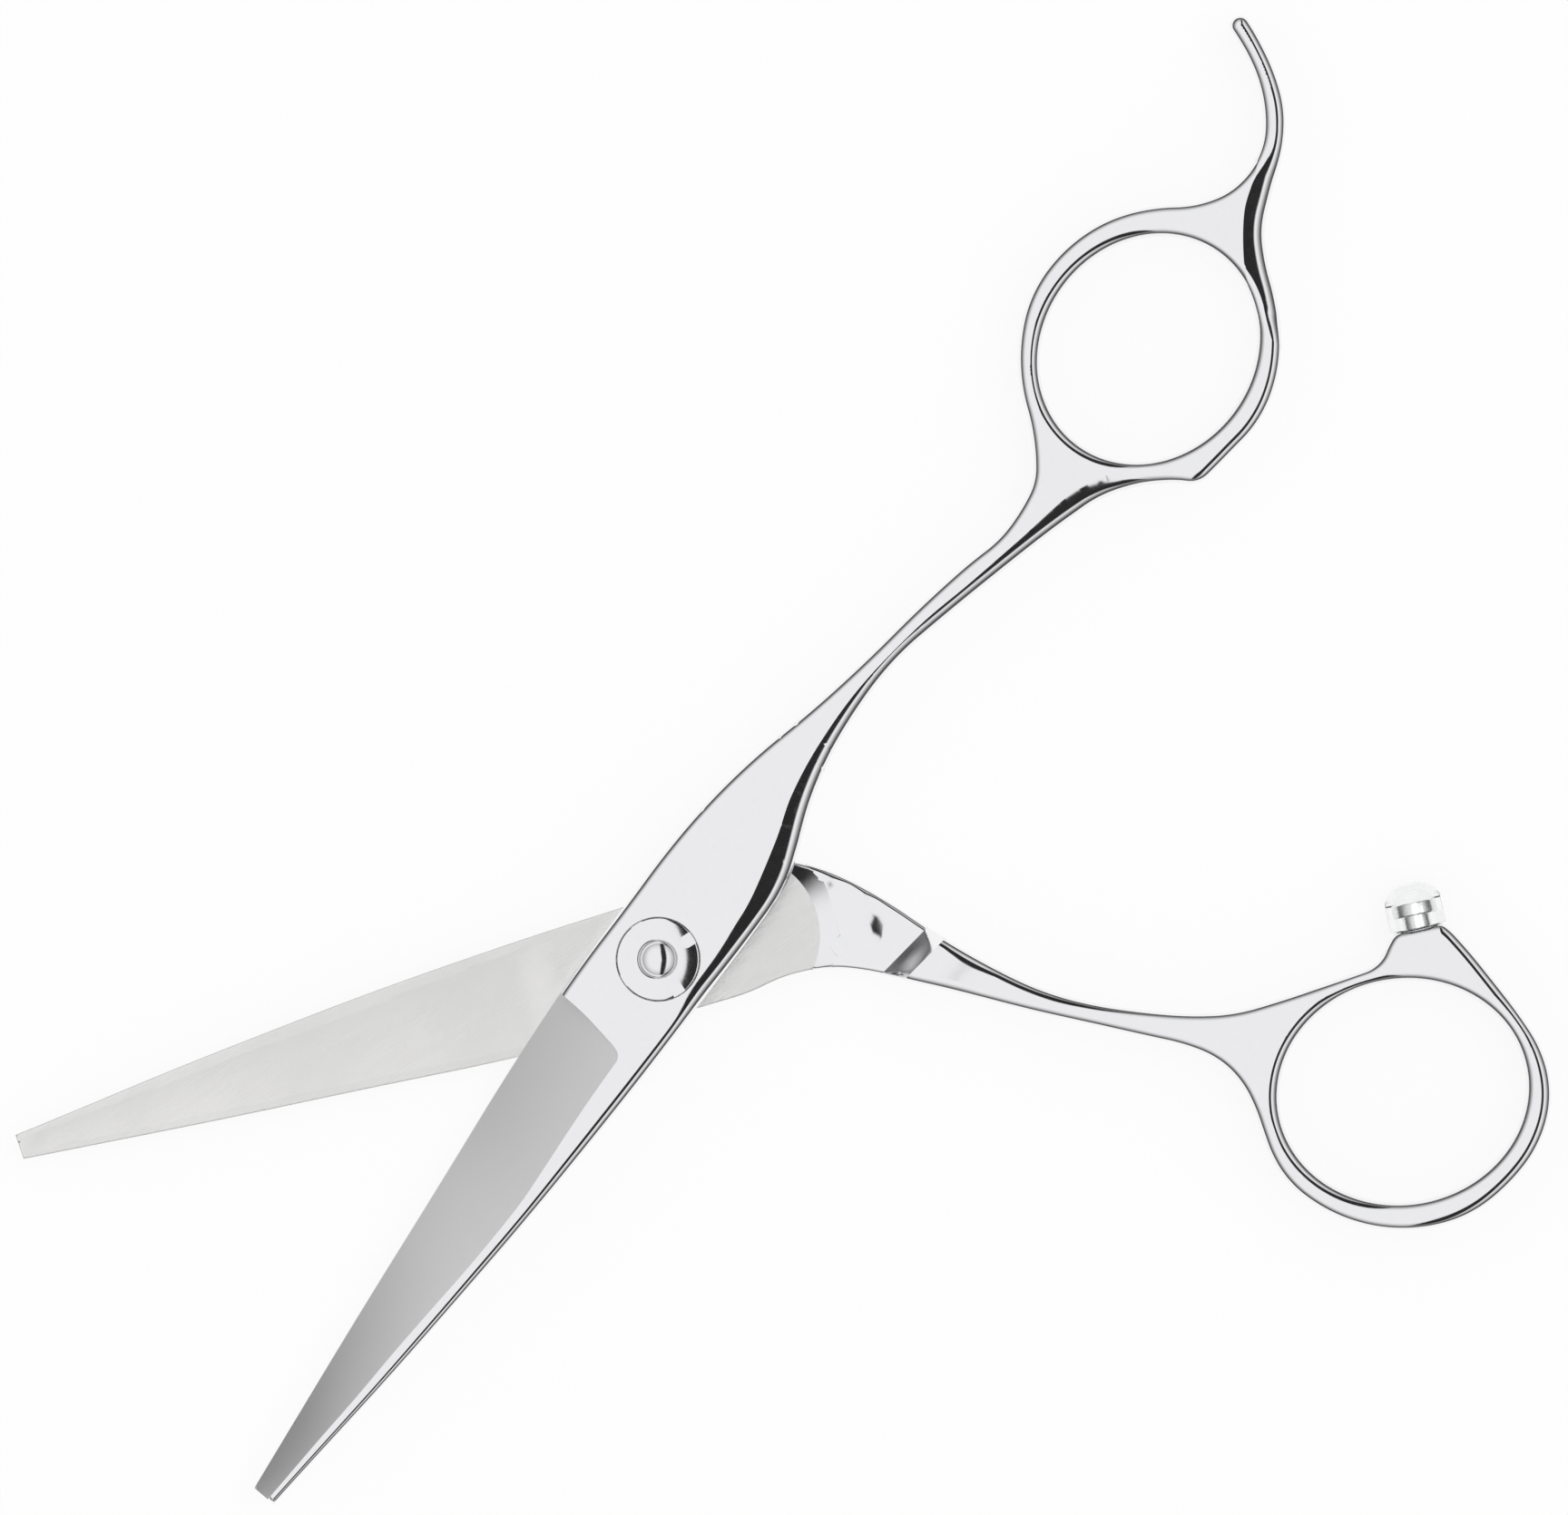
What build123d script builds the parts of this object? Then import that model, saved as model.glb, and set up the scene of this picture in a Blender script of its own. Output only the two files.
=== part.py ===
from build123d import *

import os
from math import cos, radians, sin, sqrt

# Hair cutting shears, 5.25 inch class, with offset handles, two oval rings, a fixed
# finger rest and a flush tension dial at the pivot.
#
# Row frame, in millimetres: the pivot axis is Z and z = 0 is the plane under the pivot
# bolt. +X runs between the open blades towards their tips.
#
# Each half is drawn in its own frame: x towards its tip, y towards the spine of its
# blade and z outwards from the face that rides on the other half. The two blades are
# then the same forging, and finger_plane and thumb_plane set the halves in the row.

# ---- driving dimensions -------------------------------------------------------------
open_half_angle = 18.9  # each blade from the row's X axis, at rest
blade_length = 56.6  # pivot axis to tip
pivot_thickness = 3.0  # one half, at the pivot
tip_thickness = 1.0
handle_outer = 2.15  # outer face of shank and ring, from the mating plane
handle_inner = 2.2  # inner face of the same, past the mating plane
ride_gap = 0.05  # between the two ride faces
edge_roll = 0.8  # rounding of the forged edges
neck_roll = 0.5  # the same on the inner side of the neck
weld_x = -15.4  # where the blade is welded to its handle

# blade
edge_thickness = 0.15
bevel_start = 7.5
bevel_slope = 0.386
bevel_crown = 0.12
bevel_corner = 1.0
hollow_depth = 0.12
ride_land = 0.7
ride_step = 0.4  # the handle's neck lies this far under the ride face

# side view
fall_start = -9.0  # the outer face falls from here, in the ricasso
fall_end = -29.0  # to here, in the shank
riser_run = 1.7

# pivot
bushing_height = 1.6
bolt_head_radius = 3.3
bolt_head_height = 1.0
journal_radius = 2.4
bushing_wall = 0.6
running_fit = 0.03
press_fit_gap = 0.01
dial_radius = 3.5
dial_thickness = 0.95
dial_crown = 0.15
dial_notch_width = 1.1
dial_notch_length = 1.25
dial_notch_turn = -3.0
dial_notch_depth = 0.45
dial_gap = 0.1
thread_radius = 1.6
dome_radius = 1.36
dome_height = 0.42
washer_thickness = 0.25
spring_thickness = 0.2
stack_gap = 0.03
flat_half_width = 1.7  # of the bolt's two flats under the dial

# rings
finger_hole = (9.97, 8.82)
finger_hole_centre = (-66.3, 3.2)
thumb_hole = (10.52, 9.38)
thumb_hole_centre = (-57.5, -28.4)
thumb_hole_turn = 5.0
ring_edge_roll = 0.35

# bumper
boss_flat = 3.0  # length of the seat on the thumb ring's boss
cap_radius = 2.4
cap_height = 4.0
cap_side = 2.4  # height of its straight side
stud_neck_radius = 1.2
stud_neck_height = 1.1
stud_head_radius = 1.9
stud_head_height = 1.1
stud_thread_radius = 1.0
stud_thread_length = 2.8
cap_bore_gap = 0.05

# ---- frames of the two halves -------------------------------------------------------
mating_height = pivot_thickness
finger_plane = Plane(
    origin=(0, 0, mating_height + ride_gap),
    x_dir=(cos(radians(open_half_angle)), sin(radians(open_half_angle)), 0),
    z_dir=(0, 0, 1),
)
thumb_plane = Plane(
    origin=(0, 0, mating_height),
    x_dir=(cos(radians(open_half_angle)), -sin(radians(open_half_angle)), 0),
    z_dir=(0, 0, -1),
)
reach = 120.0  # longer than either half, for cutting planes and blanks


# ---- outlines -----------------------------------------------------------------------
# An outline is a chain of tangent arcs. It is given by stations (x, y, heading): places
# that the edge passes, with its direction there in degrees.
def heading_vector(degrees):
    return Vector(cos(radians(degrees)), sin(radians(degrees)))


def tangent_step(start, end, direction):
    """An arc that leaves its start along a direction, or a line where it is straight."""
    chord = (end - start).normalized()
    if abs(chord.cross(direction).Z) < 1e-4:
        Line(start, end)
    else:
        TangentArc(start, end, tangent=direction)


def two_arcs(start, end):
    """Two arcs from one station to the next, tangent to both and to each other."""
    first, last = Vector(*start[:2]), Vector(*end[:2])
    leaving, arriving = heading_vector(start[2]), heading_vector(end[2])
    span = last - first
    along = span.dot(leaving + arriving)
    turn = 1 - leaving.dot(arriving)
    if turn < 1e-6:
        arm = span.dot(span) / (2 * along)
    else:
        arm = (sqrt(along**2 + 2 * turn * span.dot(span)) - along) / (2 * turn)
    knee_start, knee_end = first + leaving * arm, last - arriving * arm
    middle = (knee_start + knee_end) * 0.5
    tangent_step(first, middle, leaving)
    tangent_step(middle, last, (knee_end - knee_start).normalized())


def arc_chain(*stations):
    for start, end in zip(stations, stations[1:]):
        two_arcs(start, end)


tip_spine = (blade_length, 0.85, 174)
tip_edge = (blade_length - 0.1, -1.32, 5)
spine_heel = (-8.5, 5.35, 180)
edge_heel = (-5, -4.95, 0)
blade_spine = [tip_spine, (38, 2.87, 174.6), (20, 4.33, 176.7), (5, 4.97, 178.7), spine_heel]
blade_edge = [edge_heel, (bevel_start, -5.0, 2), (33, -3.27, 4.1), tip_edge]

with BuildSketch() as finger_plan:
    with BuildLine():
        rest_end = (-93.85, -6.35, 250)
        rest_return = (-92.25, -6.92, 70)
        arc_chain(
            *blade_spine,
            (-13.6, 4.5, 200),
            (-20, 2.27, 194),
            (-29, 1.3, 180),
            (-41.3, 3.6, 165),
            (-52.2, 6.8, 161),
            (-57, 9.95, 134),
            (-59.0, 12.5, 120),
            (-60.6, 13.65, 170),
            (-63.2, 14.05, 172),
            (-66.3, 14.4, 180),
            (-72.2, 12.75, 210),
            (-77.2, 8.25, 232),
            (-81.6, 4.5, 203),
            (-88.1, 1.7, 212),
            (-92.5, -3.4, 242),
            rest_end,
        )
        TangentArc(rest_end[:2], rest_return[:2], tangent=heading_vector(rest_end[2]))
        arc_chain(
            rest_return,
            (-90.75, -3.7, 59),
            (-87, 0.2, 33),
            (-83.6, 1.2, 0),
            (-80.2, 0.3, -31),
            (-75, -4.75, -40),
            (-66.5, -7.8, 0),
            (-58.1, -4.4, 41),
            (-54.1, -0.1, 43),
            (-50.4, 2.15, 10),
            (-47.4, 2.4, 0),
            (-41.3, 1.15, -12.5),
            (-27, -1.5, -12),
            (-16.3, -4.0, -10),
            *blade_edge,
        )
        Line(tip_edge[:2], tip_spine[:2])
    make_face()
    with Locations(finger_hole_centre):
        Ellipse(*finger_hole, mode=Mode.SUBTRACT)

boss_heading = 184
boss_start = (-61.2, -15.3, boss_heading)
boss_end = (
    boss_start[0] + boss_flat * cos(radians(boss_heading)),
    boss_start[1] + boss_flat * sin(radians(boss_heading)),
    boss_heading,
)

with BuildSketch() as thumb_plan:
    with BuildLine():
        arc_chain(
            *blade_spine,
            (-13.4, 4.7, 205),
            (-18.2, 1.2, 224),
            (-24.6, -5.95, 227),
            (-33.5, -13.4, 209),
            (-40, -16.35, 201),
            (-47.5, -18.0, 180),
            (-57.2, -17.62, 177),
            (-59.3, -16.6, 128),
            boss_start,
            boss_end,
            (-65.5, -16.75, 243),
            (-68.3, -23.2, 248),
            (-69.9, -29.6, 270),
            (-65.7, -37.4, 324),
            (-58, -40.2, 360),
            (-49.6, -37.3, 398),
            (-45.4, -31.2, 437),
            (-45.05, -27.5, 448),
            (-44.1, -23.0, 424),
            (-41.8, -20.25, 397),
            (-36.8, -17.3, 389),
            (-26.6, -11.6, 391),
            (-18.2, -6.75, 390),
            (-11.3, -4.45, 363),
            *blade_edge,
        )
        Line(tip_edge[:2], tip_spine[:2])
    make_face()
    with Locations(thumb_hole_centre):
        Ellipse(*thumb_hole, rotation=thumb_hole_turn, mode=Mode.SUBTRACT)

side_view = Plane.XZ.offset(-reach)  # side profiles start beyond the part and run through it


# ---- forgings -----------------------------------------------------------------------
def is_wall(face):
    """Whether a face stands upright all along."""
    return abs(face.normal_at().Z) < 0.5


def rim_edges(part, closed, *cuts):
    """Rims of the walls, but not at cuts: those of the ring's hole, or the others."""
    return ShapeList(
        edge
        for face in part.faces().filter_by(is_wall)
        for edge in face.edges()
        if edge.is_closed == closed
        and abs((edge % 0.5).Z) < 0.9
        and all(abs(edge.center().X - cut) > 0.01 for cut in cuts)
    )


def handle_side_lines():
    """Side view of a handle: its outer face falls from the pivot to the shank."""
    two_arcs((fall_start, pivot_thickness, 180), (fall_end, handle_outer, 180))
    Polyline(
        (fall_end, handle_outer),
        (-reach, handle_outer),
        (-reach, -handle_inner),
        (reach, -handle_inner),
        (reach, pivot_thickness),
        (fall_start, pivot_thickness),
    )


def forge_bar(plan):
    """The whole handle at its full depth, rolled on every edge of its rims."""
    with BuildPart() as bar:
        with BuildSketch():
            add(plan)
            with Locations((-reach / 2, 0)):
                Rectangle(reach, 2 * reach, mode=Mode.INTERSECT)
        extrude(amount=reach, both=True)
        with BuildSketch(side_view):
            with BuildLine():
                handle_side_lines()
            make_face()
        extrude(amount=2 * reach, mode=Mode.INTERSECT)
        fillet(rim_edges(bar, True), ring_edge_roll)
        fillet(rim_edges(bar, False, 0), edge_roll)
    return bar.part


def forge_handle(plan, riser):
    """A handle: a thin neck under the other blade, and a full shank past the riser."""
    bar = forge_bar(plan)
    with BuildPart() as neck:
        add(bar)
        split(bisect_by=riser, keep=Keep.BOTTOM)
        split(bisect_by=Plane.YZ.offset(weld_x), keep=Keep.BOTTOM)
        split(bisect_by=Plane.XY.offset(ride_step), keep=Keep.TOP)
        underside = neck.faces().filter_by(Axis.Z).sort_by(Axis.Z)[0]
        neck_rims = [
            edge
            for edge in underside.edges()
            if abs(edge.center().X - weld_x) > 0.01
            and abs((edge.center() - riser.origin).dot(riser.z_dir)) > 0.01
        ]
        fillet(neck_rims, neck_roll)
    with BuildPart() as handle:
        add(bar)
        split(bisect_by=riser, keep=Keep.TOP)
        add(neck.part)
    return handle.part


def riser_plane(foot, heading):
    """The slope from neck to shank: it starts at its foot and climbs along a heading."""
    run = riser_run / (handle_inner + ride_step)
    return Plane(
        origin=(*foot, ride_step),
        z_dir=(cos(radians(heading)), sin(radians(heading)), run),
    )


def forge_blade(plan):
    """A blade: convex bevel outside, hollow ground inside, with its ride and its tail."""
    with BuildPart() as blade:
        with BuildSketch():
            add(plan)
            with Locations((weld_x + reach / 2, 0)):
                Rectangle(reach, reach, mode=Mode.INTERSECT)
        extrude(amount=reach)
        with BuildSketch(side_view):
            with BuildLine():
                two_arcs((fall_start, pivot_thickness, 180), (fall_end, handle_outer, 180))
                two_arcs((blade_length, tip_thickness, 172), (24, 2.72, 176))
                two_arcs((24, 2.72, 176), (bevel_start, pivot_thickness, 180))
                Line((bevel_start, pivot_thickness), (fall_start, pivot_thickness))
                Polyline(
                    (fall_end, handle_outer),
                    (fall_end, 0),
                    (blade_length, 0),
                    (blade_length, tip_thickness),
                )
            make_face()
        extrude(amount=2 * reach, mode=Mode.INTERSECT)
        outer_rims = rim_edges(blade, False, weld_x).filter_by(lambda e: e.center().Z > 0.1)
        fillet(outer_rims, edge_roll)
        add(bevel_cutter.part, mode=Mode.SUBTRACT)
        add(hollow_cutter.part, mode=Mode.SUBTRACT)
        add(ride_end_cutter.part, mode=Mode.SUBTRACT)
    return blade.part


# Everything above the convex bevel, from the step in front of the ricasso to the tip.
edge_heading = radians(4.38)
bevel_view = Plane(
    origin=(bevel_start, -5.0, 0),
    x_dir=(-sin(edge_heading), cos(edge_heading), 0),
    z_dir=(cos(edge_heading), sin(edge_heading), 0),
)
with BuildPart() as bevel_cutter:
    with BuildSketch(bevel_view.offset(-5)):
        with BuildLine():
            start, middle, end = [
                (across, edge_thickness + bevel_slope * across + crown)
                for across, crown in ((-1, 0), (4.25, bevel_crown), (9.5, 0))
            ]
            ThreePointArc(start, middle, end)
            Polyline(end, (9.5, 8), (-1, 8), start)
        make_face()
    extrude(amount=reach)
    with BuildSketch() as bevel_area:
        corner = (8.35, 2.3)
        with BuildLine():
            Polyline((7.3, -7), corner, (24, 2.95), (reach, 2.95), (reach, -7), close=True)
        make_face()
        fillet(bevel_area.vertices().group_by(Axis.Y)[-2], bevel_corner)
    extrude(amount=reach, mode=Mode.INTERSECT)

with BuildPart() as hollow_cutter:
    for x, low, high, depth in ((11, -4.1, 4.1, hollow_depth), (55, -0.9, 0.5, hollow_depth / 4)):
        with BuildSketch(Plane.YZ.offset(x)):
            with BuildLine():
                ThreePointArc((low, 0), ((low + high) / 2, depth), (high, 0))
                Polyline((high, 0), (high, -1), (low, -1), (low, 0))
            make_face()
    loft()

with BuildPart() as ride_end_cutter:
    with Locations((-reach / 2 - 8, 0, ride_step - 5)):
        Box(reach, reach, 10)
    with Locations((-7, 0, ride_step / 2)):
        Cone(7.0, 8.4, ride_step, mode=Mode.SUBTRACT)
    with Locations((-7, 0, -3)):
        Cylinder(7.0, 6, mode=Mode.SUBTRACT)

# ---- heights of the pieces stacked on the pivot, in the row frame -------------------
stack_floor = mating_height + bushing_height  # floor of the dial's recess
spring_base = stack_floor + washer_thickness + stack_gap
dial_base = spring_base + spring_thickness + stack_gap
dial_rim = dial_base + dial_thickness
bushing_bore = journal_radius + running_fit
bushing_radius = bushing_bore + bushing_wall
on_floor = (Align.CENTER, Align.CENTER, Align.MIN)
finger_riser = riser_plane((-21.3, 0), 180)
thumb_riser = riser_plane((-20.1, -5.25), 240.6)

# ---- upper half, on the finger side -------------------------------------------------
with BuildPart() as upper_blade:
    with Locations(finger_plane):
        add(forge_blade(finger_plan.sketch))
    with Locations((0, 0, stack_floor)):
        Cylinder(dial_radius + dial_gap, reach, align=on_floor, mode=Mode.SUBTRACT)
    Cylinder(bushing_radius + press_fit_gap, reach, align=on_floor, mode=Mode.SUBTRACT)

with BuildPart() as finger_handle:
    with Locations(finger_plane):
        add(forge_handle(finger_plan.sketch, finger_riser))

with BuildPart() as pivot_bushing:
    with BuildSketch(Plane.XY.offset(mating_height + 2 * ride_gap)):
        Circle(bushing_radius)
        Circle(bushing_bore, mode=Mode.SUBTRACT)
    extrude(amount=bushing_height - 2 * ride_gap)

with BuildPart() as bearing_washer:
    with BuildSketch(Plane.XY.offset(stack_floor)):
        Circle(dial_radius - dial_gap)
        Circle(bushing_bore, mode=Mode.SUBTRACT)
    extrude(amount=washer_thickness)

# ---- lower half, on the thumb side --------------------------------------------------
with BuildPart() as lower_blade:
    with Locations(thumb_plane):
        add(forge_blade(thumb_plan.sketch))
    Cylinder(journal_radius + press_fit_gap, reach, mode=Mode.SUBTRACT)
    Cylinder(bolt_head_radius + press_fit_gap, 2 * bolt_head_height, mode=Mode.SUBTRACT)

boss_middle = (
    (boss_start[0] + boss_end[0]) / 2,
    (boss_start[1] + boss_end[1]) / 2,
    (handle_outer - handle_inner) / 2,
)
bumper_heading = radians(boss_heading - 90)
bumper_seat = Plane(
    origin=thumb_plane.from_local_coords(Vector(*boss_middle)),
    x_dir=(0, 0, 1),
    z_dir=thumb_plane.from_local_coords(Vector(cos(bumper_heading), sin(bumper_heading), 0))
    - thumb_plane.origin,
)

with BuildPart() as thumb_handle:
    with Locations(thumb_plane):
        add(forge_handle(thumb_plan.sketch, thumb_riser))
    with Locations(bumper_seat):
        stud_bore_depth = stud_thread_length + cap_bore_gap
        Cylinder(
            stud_thread_radius + press_fit_gap, 2 * stud_bore_depth, mode=Mode.SUBTRACT
        )

# ---- pivot bolt, spring and dial ----------------------------------------------------
with BuildPart() as pivot_bolt:
    with BuildSketch(Plane.XZ):
        shoulder = spring_base - stack_gap
        thread_end = dial_rim + dial_crown - 0.05
        with BuildLine():
            Polyline(
                (0, 0),
                (bolt_head_radius - 0.15, 0),
                (bolt_head_radius, 0.15),
                (bolt_head_radius, bolt_head_height),
                (journal_radius, bolt_head_height),
                (journal_radius, dial_base - stack_gap / 2),
                (thread_radius, dial_base - stack_gap / 2),
                (thread_radius, thread_end - 0.35),
                (dome_radius, thread_end - 0.1),
                (dome_radius, thread_end),
            )
            two_arcs((dome_radius, thread_end, 100), (0, thread_end + dome_height, 180))
            Line((0, thread_end + dome_height), (0, 0))
        make_face()
    revolve(axis=Axis.Z)
    with BuildSketch(Plane.XY.offset(shoulder)):
        Circle(journal_radius + 1)
        Rectangle(2 * flat_half_width, 4 * journal_radius, mode=Mode.SUBTRACT)
    extrude(amount=dial_base - shoulder, mode=Mode.SUBTRACT)

with BuildPart() as click_spring:
    with BuildSketch(Plane.XY.offset(spring_base)):
        Circle(dial_radius - 2 * dial_gap)
        with BuildSketch(mode=Mode.PRIVATE) as keyhole:
            Circle(journal_radius + running_fit)
            Rectangle(
                2 * (flat_half_width + running_fit), 4 * journal_radius, mode=Mode.INTERSECT
            )
        add(keyhole.sketch, mode=Mode.SUBTRACT)
    extrude(amount=spring_thickness)

with BuildPart() as tension_dial:
    with BuildSketch(Plane.XZ):
        lip = thread_radius + 0.15
        with BuildLine():
            Polyline(
                (thread_radius + running_fit, dial_base),
                (dial_radius - 0.05, dial_base),
                (dial_radius, dial_base + 0.05),
                (dial_radius, dial_rim - 0.08),
                (dial_radius - 0.08, dial_rim),
            )
            ThreePointArc(
                (dial_radius - 0.08, dial_rim),
                ((dial_radius + lip) / 2, dial_rim + dial_crown * 0.72),
                (lip, dial_rim + dial_crown),
            )
            Polyline(
                (lip, dial_rim + dial_crown),
                (thread_radius + running_fit, dial_rim + dial_crown),
                (thread_radius + running_fit, dial_base),
            )
        make_face()
    revolve(axis=Axis.Z)
    with BuildSketch(Plane.XY.offset(dial_rim - dial_notch_depth)):
        with PolarLocations(dial_radius, 4, start_angle=dial_notch_turn):
            SlotOverall(2 * dial_notch_length, dial_notch_width)
    extrude(amount=reach, mode=Mode.SUBTRACT)

# ---- bumper between the rings -------------------------------------------------------
head_base = stud_neck_height
head_top = head_base + stud_head_height
with BuildPart(bumper_seat) as bumper_stud:
    Cylinder(stud_neck_radius, stud_neck_height, align=on_floor)
    with Locations((0, 0, head_base)):
        Cylinder(stud_head_radius, stud_head_height, align=on_floor)
    with Locations((0, 0, -stud_thread_length)):
        Cylinder(stud_thread_radius, stud_thread_length, align=on_floor)

with BuildPart() as cap_blank:
    with BuildSketch(Plane.XZ):
        with BuildLine():
            Polyline((0, 0), (cap_radius - 0.1, 0), (cap_radius, 0.1), (cap_radius, cap_side))
            two_arcs((cap_radius, cap_side, 90), (0, cap_height, 180))
            Line((0, cap_height), (0, 0))
        make_face()
    revolve(axis=Axis.Z)
    stem_radius = stud_neck_radius + cap_bore_gap
    Cylinder(stem_radius, head_top, align=on_floor, mode=Mode.SUBTRACT)
    with Locations((0, 0, head_base - cap_bore_gap)):
        Cylinder(
            stud_head_radius + cap_bore_gap,
            stud_head_height + 2 * cap_bore_gap,
            align=on_floor,
            mode=Mode.SUBTRACT,
        )

with BuildPart() as bumper_cap:
    with Locations(bumper_seat):
        add(cap_blank.part)

# ---- written files ------------------------------------------------------------------
pieces = {
    "upper_blade": upper_blade,
    "finger_handle": finger_handle,
    "pivot_bushing": pivot_bushing,
    "bearing_washer": bearing_washer,
    "lower_blade": lower_blade,
    "thumb_handle": thumb_handle,
    "pivot_bolt": pivot_bolt,
    "click_spring": click_spring,
    "tension_dial": tension_dial,
    "bumper_stud": bumper_stud,
    "bumper_cap": bumper_cap,
}
os.makedirs("parts", exist_ok=True)
for name, piece in pieces.items():
    piece.part.label = name
    export_step(piece.part, f"parts/{name}.step")
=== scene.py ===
from math import atan2, ceil, cos, pi, radians, sin, sqrt

import bpy
import numpy as np
from mathutils import Matrix, Vector, geometry


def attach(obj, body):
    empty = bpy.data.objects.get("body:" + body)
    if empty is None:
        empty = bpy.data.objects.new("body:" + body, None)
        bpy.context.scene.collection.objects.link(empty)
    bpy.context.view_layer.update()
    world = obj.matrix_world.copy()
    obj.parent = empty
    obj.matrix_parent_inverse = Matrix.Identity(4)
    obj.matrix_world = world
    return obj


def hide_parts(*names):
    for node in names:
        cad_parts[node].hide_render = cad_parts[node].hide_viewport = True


bl_info = {
    "name": "Hair cutting shears",
    "version": (1, 0, 0),
    "blender": (4, 5, 0),
    "location": "View3D > Sidebar > Shears",
    "description": "Dresses a pair of hair cutting shears: blades, handles, dial and bumper",
    "category": "Add Mesh",
}

# Sizes in this script are millimetres in the frame of one half, as its maker drew it: x
# towards the tip, y towards the spine of the blade and z outwards from the ride face.
# Each finished piece is set in the row frame, in metres.
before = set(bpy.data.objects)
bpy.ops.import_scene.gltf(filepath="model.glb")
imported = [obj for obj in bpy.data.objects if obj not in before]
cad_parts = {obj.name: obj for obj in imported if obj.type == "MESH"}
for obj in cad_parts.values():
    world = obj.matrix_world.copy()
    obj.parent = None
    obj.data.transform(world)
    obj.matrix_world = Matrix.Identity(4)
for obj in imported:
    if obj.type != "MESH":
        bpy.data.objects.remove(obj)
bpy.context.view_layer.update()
MM = 0.001

# ---- the drawing of the shears ------------------------------------------------------
OPEN_HALF_ANGLE = 18.9
PIVOT_THICKNESS = 3.0
RIDE_GAP = 0.05
HANDLE_OUTER = 2.15
HANDLE_INNER = 2.2
RIDE_STEP = 0.4
RIDE_CENTRE = (-7.0, 0.0)
RIDE_RADIUS = 7.0
NECK_RADIUS = 8.4
WELD_X = -15.4
FALL_START, FALL_END = -9.0, -29.0
BEVEL_START = 7.5
BLADE_LENGTH = 56.6
EDGE_THICKNESS = 0.15
TIP_THICKNESS = 1.0
TAPER_STATION = (24, 2.72, -0.07)  # the back thins faster from here to the tip
TIP_SLOPE = -0.14
CREASE_LEAN = 0.2
BORE_AND_RECESS = {True: (3.04, 3.6, 1.55), False: (2.41, 3.31, 2.0)}  # radii, floor
RISER_RUN = 1.7
HOLLOW_DEPTH = 0.12

BLADE_SPINE = [(56.6, 0.85, 174), (38, 2.87, 174.6), (20, 4.33, 176.7), (5, 4.97, 178.7),
               (-8.5, 5.35, 180)]
BLADE_EDGE = [(-5, -4.95, 0), (7.5, -5.0, 2), (33, -3.27, 4.1), (56.5, -1.32, 5)]
FINGER_BACK = [(-13.6, 4.5, 200), (-20, 2.27, 194), (-29, 1.3, 180), (-41.3, 3.6, 165),
               (-52.2, 6.8, 161), (-57, 9.95, 134), (-59, 12.5, 120), (-60.6, 13.65, 170),
               (-63.2, 14.05, 172), (-66.3, 14.4, 180), (-72.2, 12.75, 210),
               (-77.2, 8.25, 232), (-81.6, 4.5, 203), (-88.1, 1.7, 212), (-92.5, -3.4, 242),
               (-93.85, -6.35, 250)]
FINGER_REST_RETURN = (-92.25, -6.92, 70)
FINGER_FRONT = [(-90.75, -3.7, 59), (-87, 0.2, 33), (-83.6, 1.2, 0), (-80.2, 0.3, -31),
                (-75, -4.75, -40), (-66.5, -7.8, 0), (-58.1, -4.4, 41), (-54.1, -0.1, 43),
                (-50.4, 2.15, 10), (-47.4, 2.4, 0), (-41.3, 1.15, -12.5), (-27, -1.5, -12),
                (-16.3, -4.0, -10)]
THUMB_BACK = [(-13.4, 4.7, 205), (-18.2, 1.2, 224), (-24.6, -5.95, 227), (-33.5, -13.4, 209),
              (-40, -16.35, 201), (-47.5, -18, 180), (-57.2, -17.62, 177), (-59.3, -16.6, 128),
              (-61.2, -15.3, 184), (-64.193, -15.509, 184), (-65.5, -16.75, 243),
              (-68.3, -23.2, 248), (-69.9, -29.6, 270), (-65.7, -37.4, 324), (-58, -40.2, 360),
              (-49.6, -37.3, 398), (-45.4, -31.2, 437), (-45.05, -27.5, 448),
              (-44.1, -23, 424), (-41.8, -20.25, 397), (-36.8, -17.3, 389),
              (-26.6, -11.6, 391), (-18.2, -6.75, 390), (-11.3, -4.45, 363)]
FINGER_HOLE = ((-66.3, 3.2), (9.97, 8.82), 0.0)
THUMB_HOLE = ((-57.5, -28.4), (10.52, 9.38), 5.0)

# Where the satin bevel of a blade meets the polished flat above it, and its front step.
BEVEL_TOP = [(9.0, 2.25), (13, 2.3), (17, 2.45), (20, 2.6), (24, 2.72), (30, 2.4), (35, 1.95),
             (40, 1.5), (45, 1.15), (50, 0.7), (55, 0.3), (57.2, 0.12)]
BEVEL_STEP = [(7.15, -5.6), (7.3, -3.6), (7.5, -2.0), (7.75, -0.7), (8.0, 0.5), (8.15, 1.2),
              (8.35, 1.75), (8.62, 2.08)]
# The crease on the outer side of the finger half: the ground past it leans to the spine.
RIDGE = [(4.5, 3.95), (2, 3.75), (-3, 3.8), (-6, 3.6), (-9, 3.3), (-14, 2.15), (-18, 0.95),
         (-23, 0.3), (-29, 0.3), (-36, 1.3), (-41.3, 2.6), (-47, 3.9), (-52.2, 5.0),
         (-55, 6.2), (-57, 7.8), (-59.5, 10.3)]
# The same at the foot of the finger rest.
REST_RIDGE = [(-73, 10.4), (-75, 7.6), (-77, 5.4), (-80.5, 2.9), (-84, 1.6), (-88, -0.6)]


# ---- outlines -----------------------------------------------------------------------
def heading(degrees):
    return np.array((cos(radians(degrees)), sin(radians(degrees))))


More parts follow.
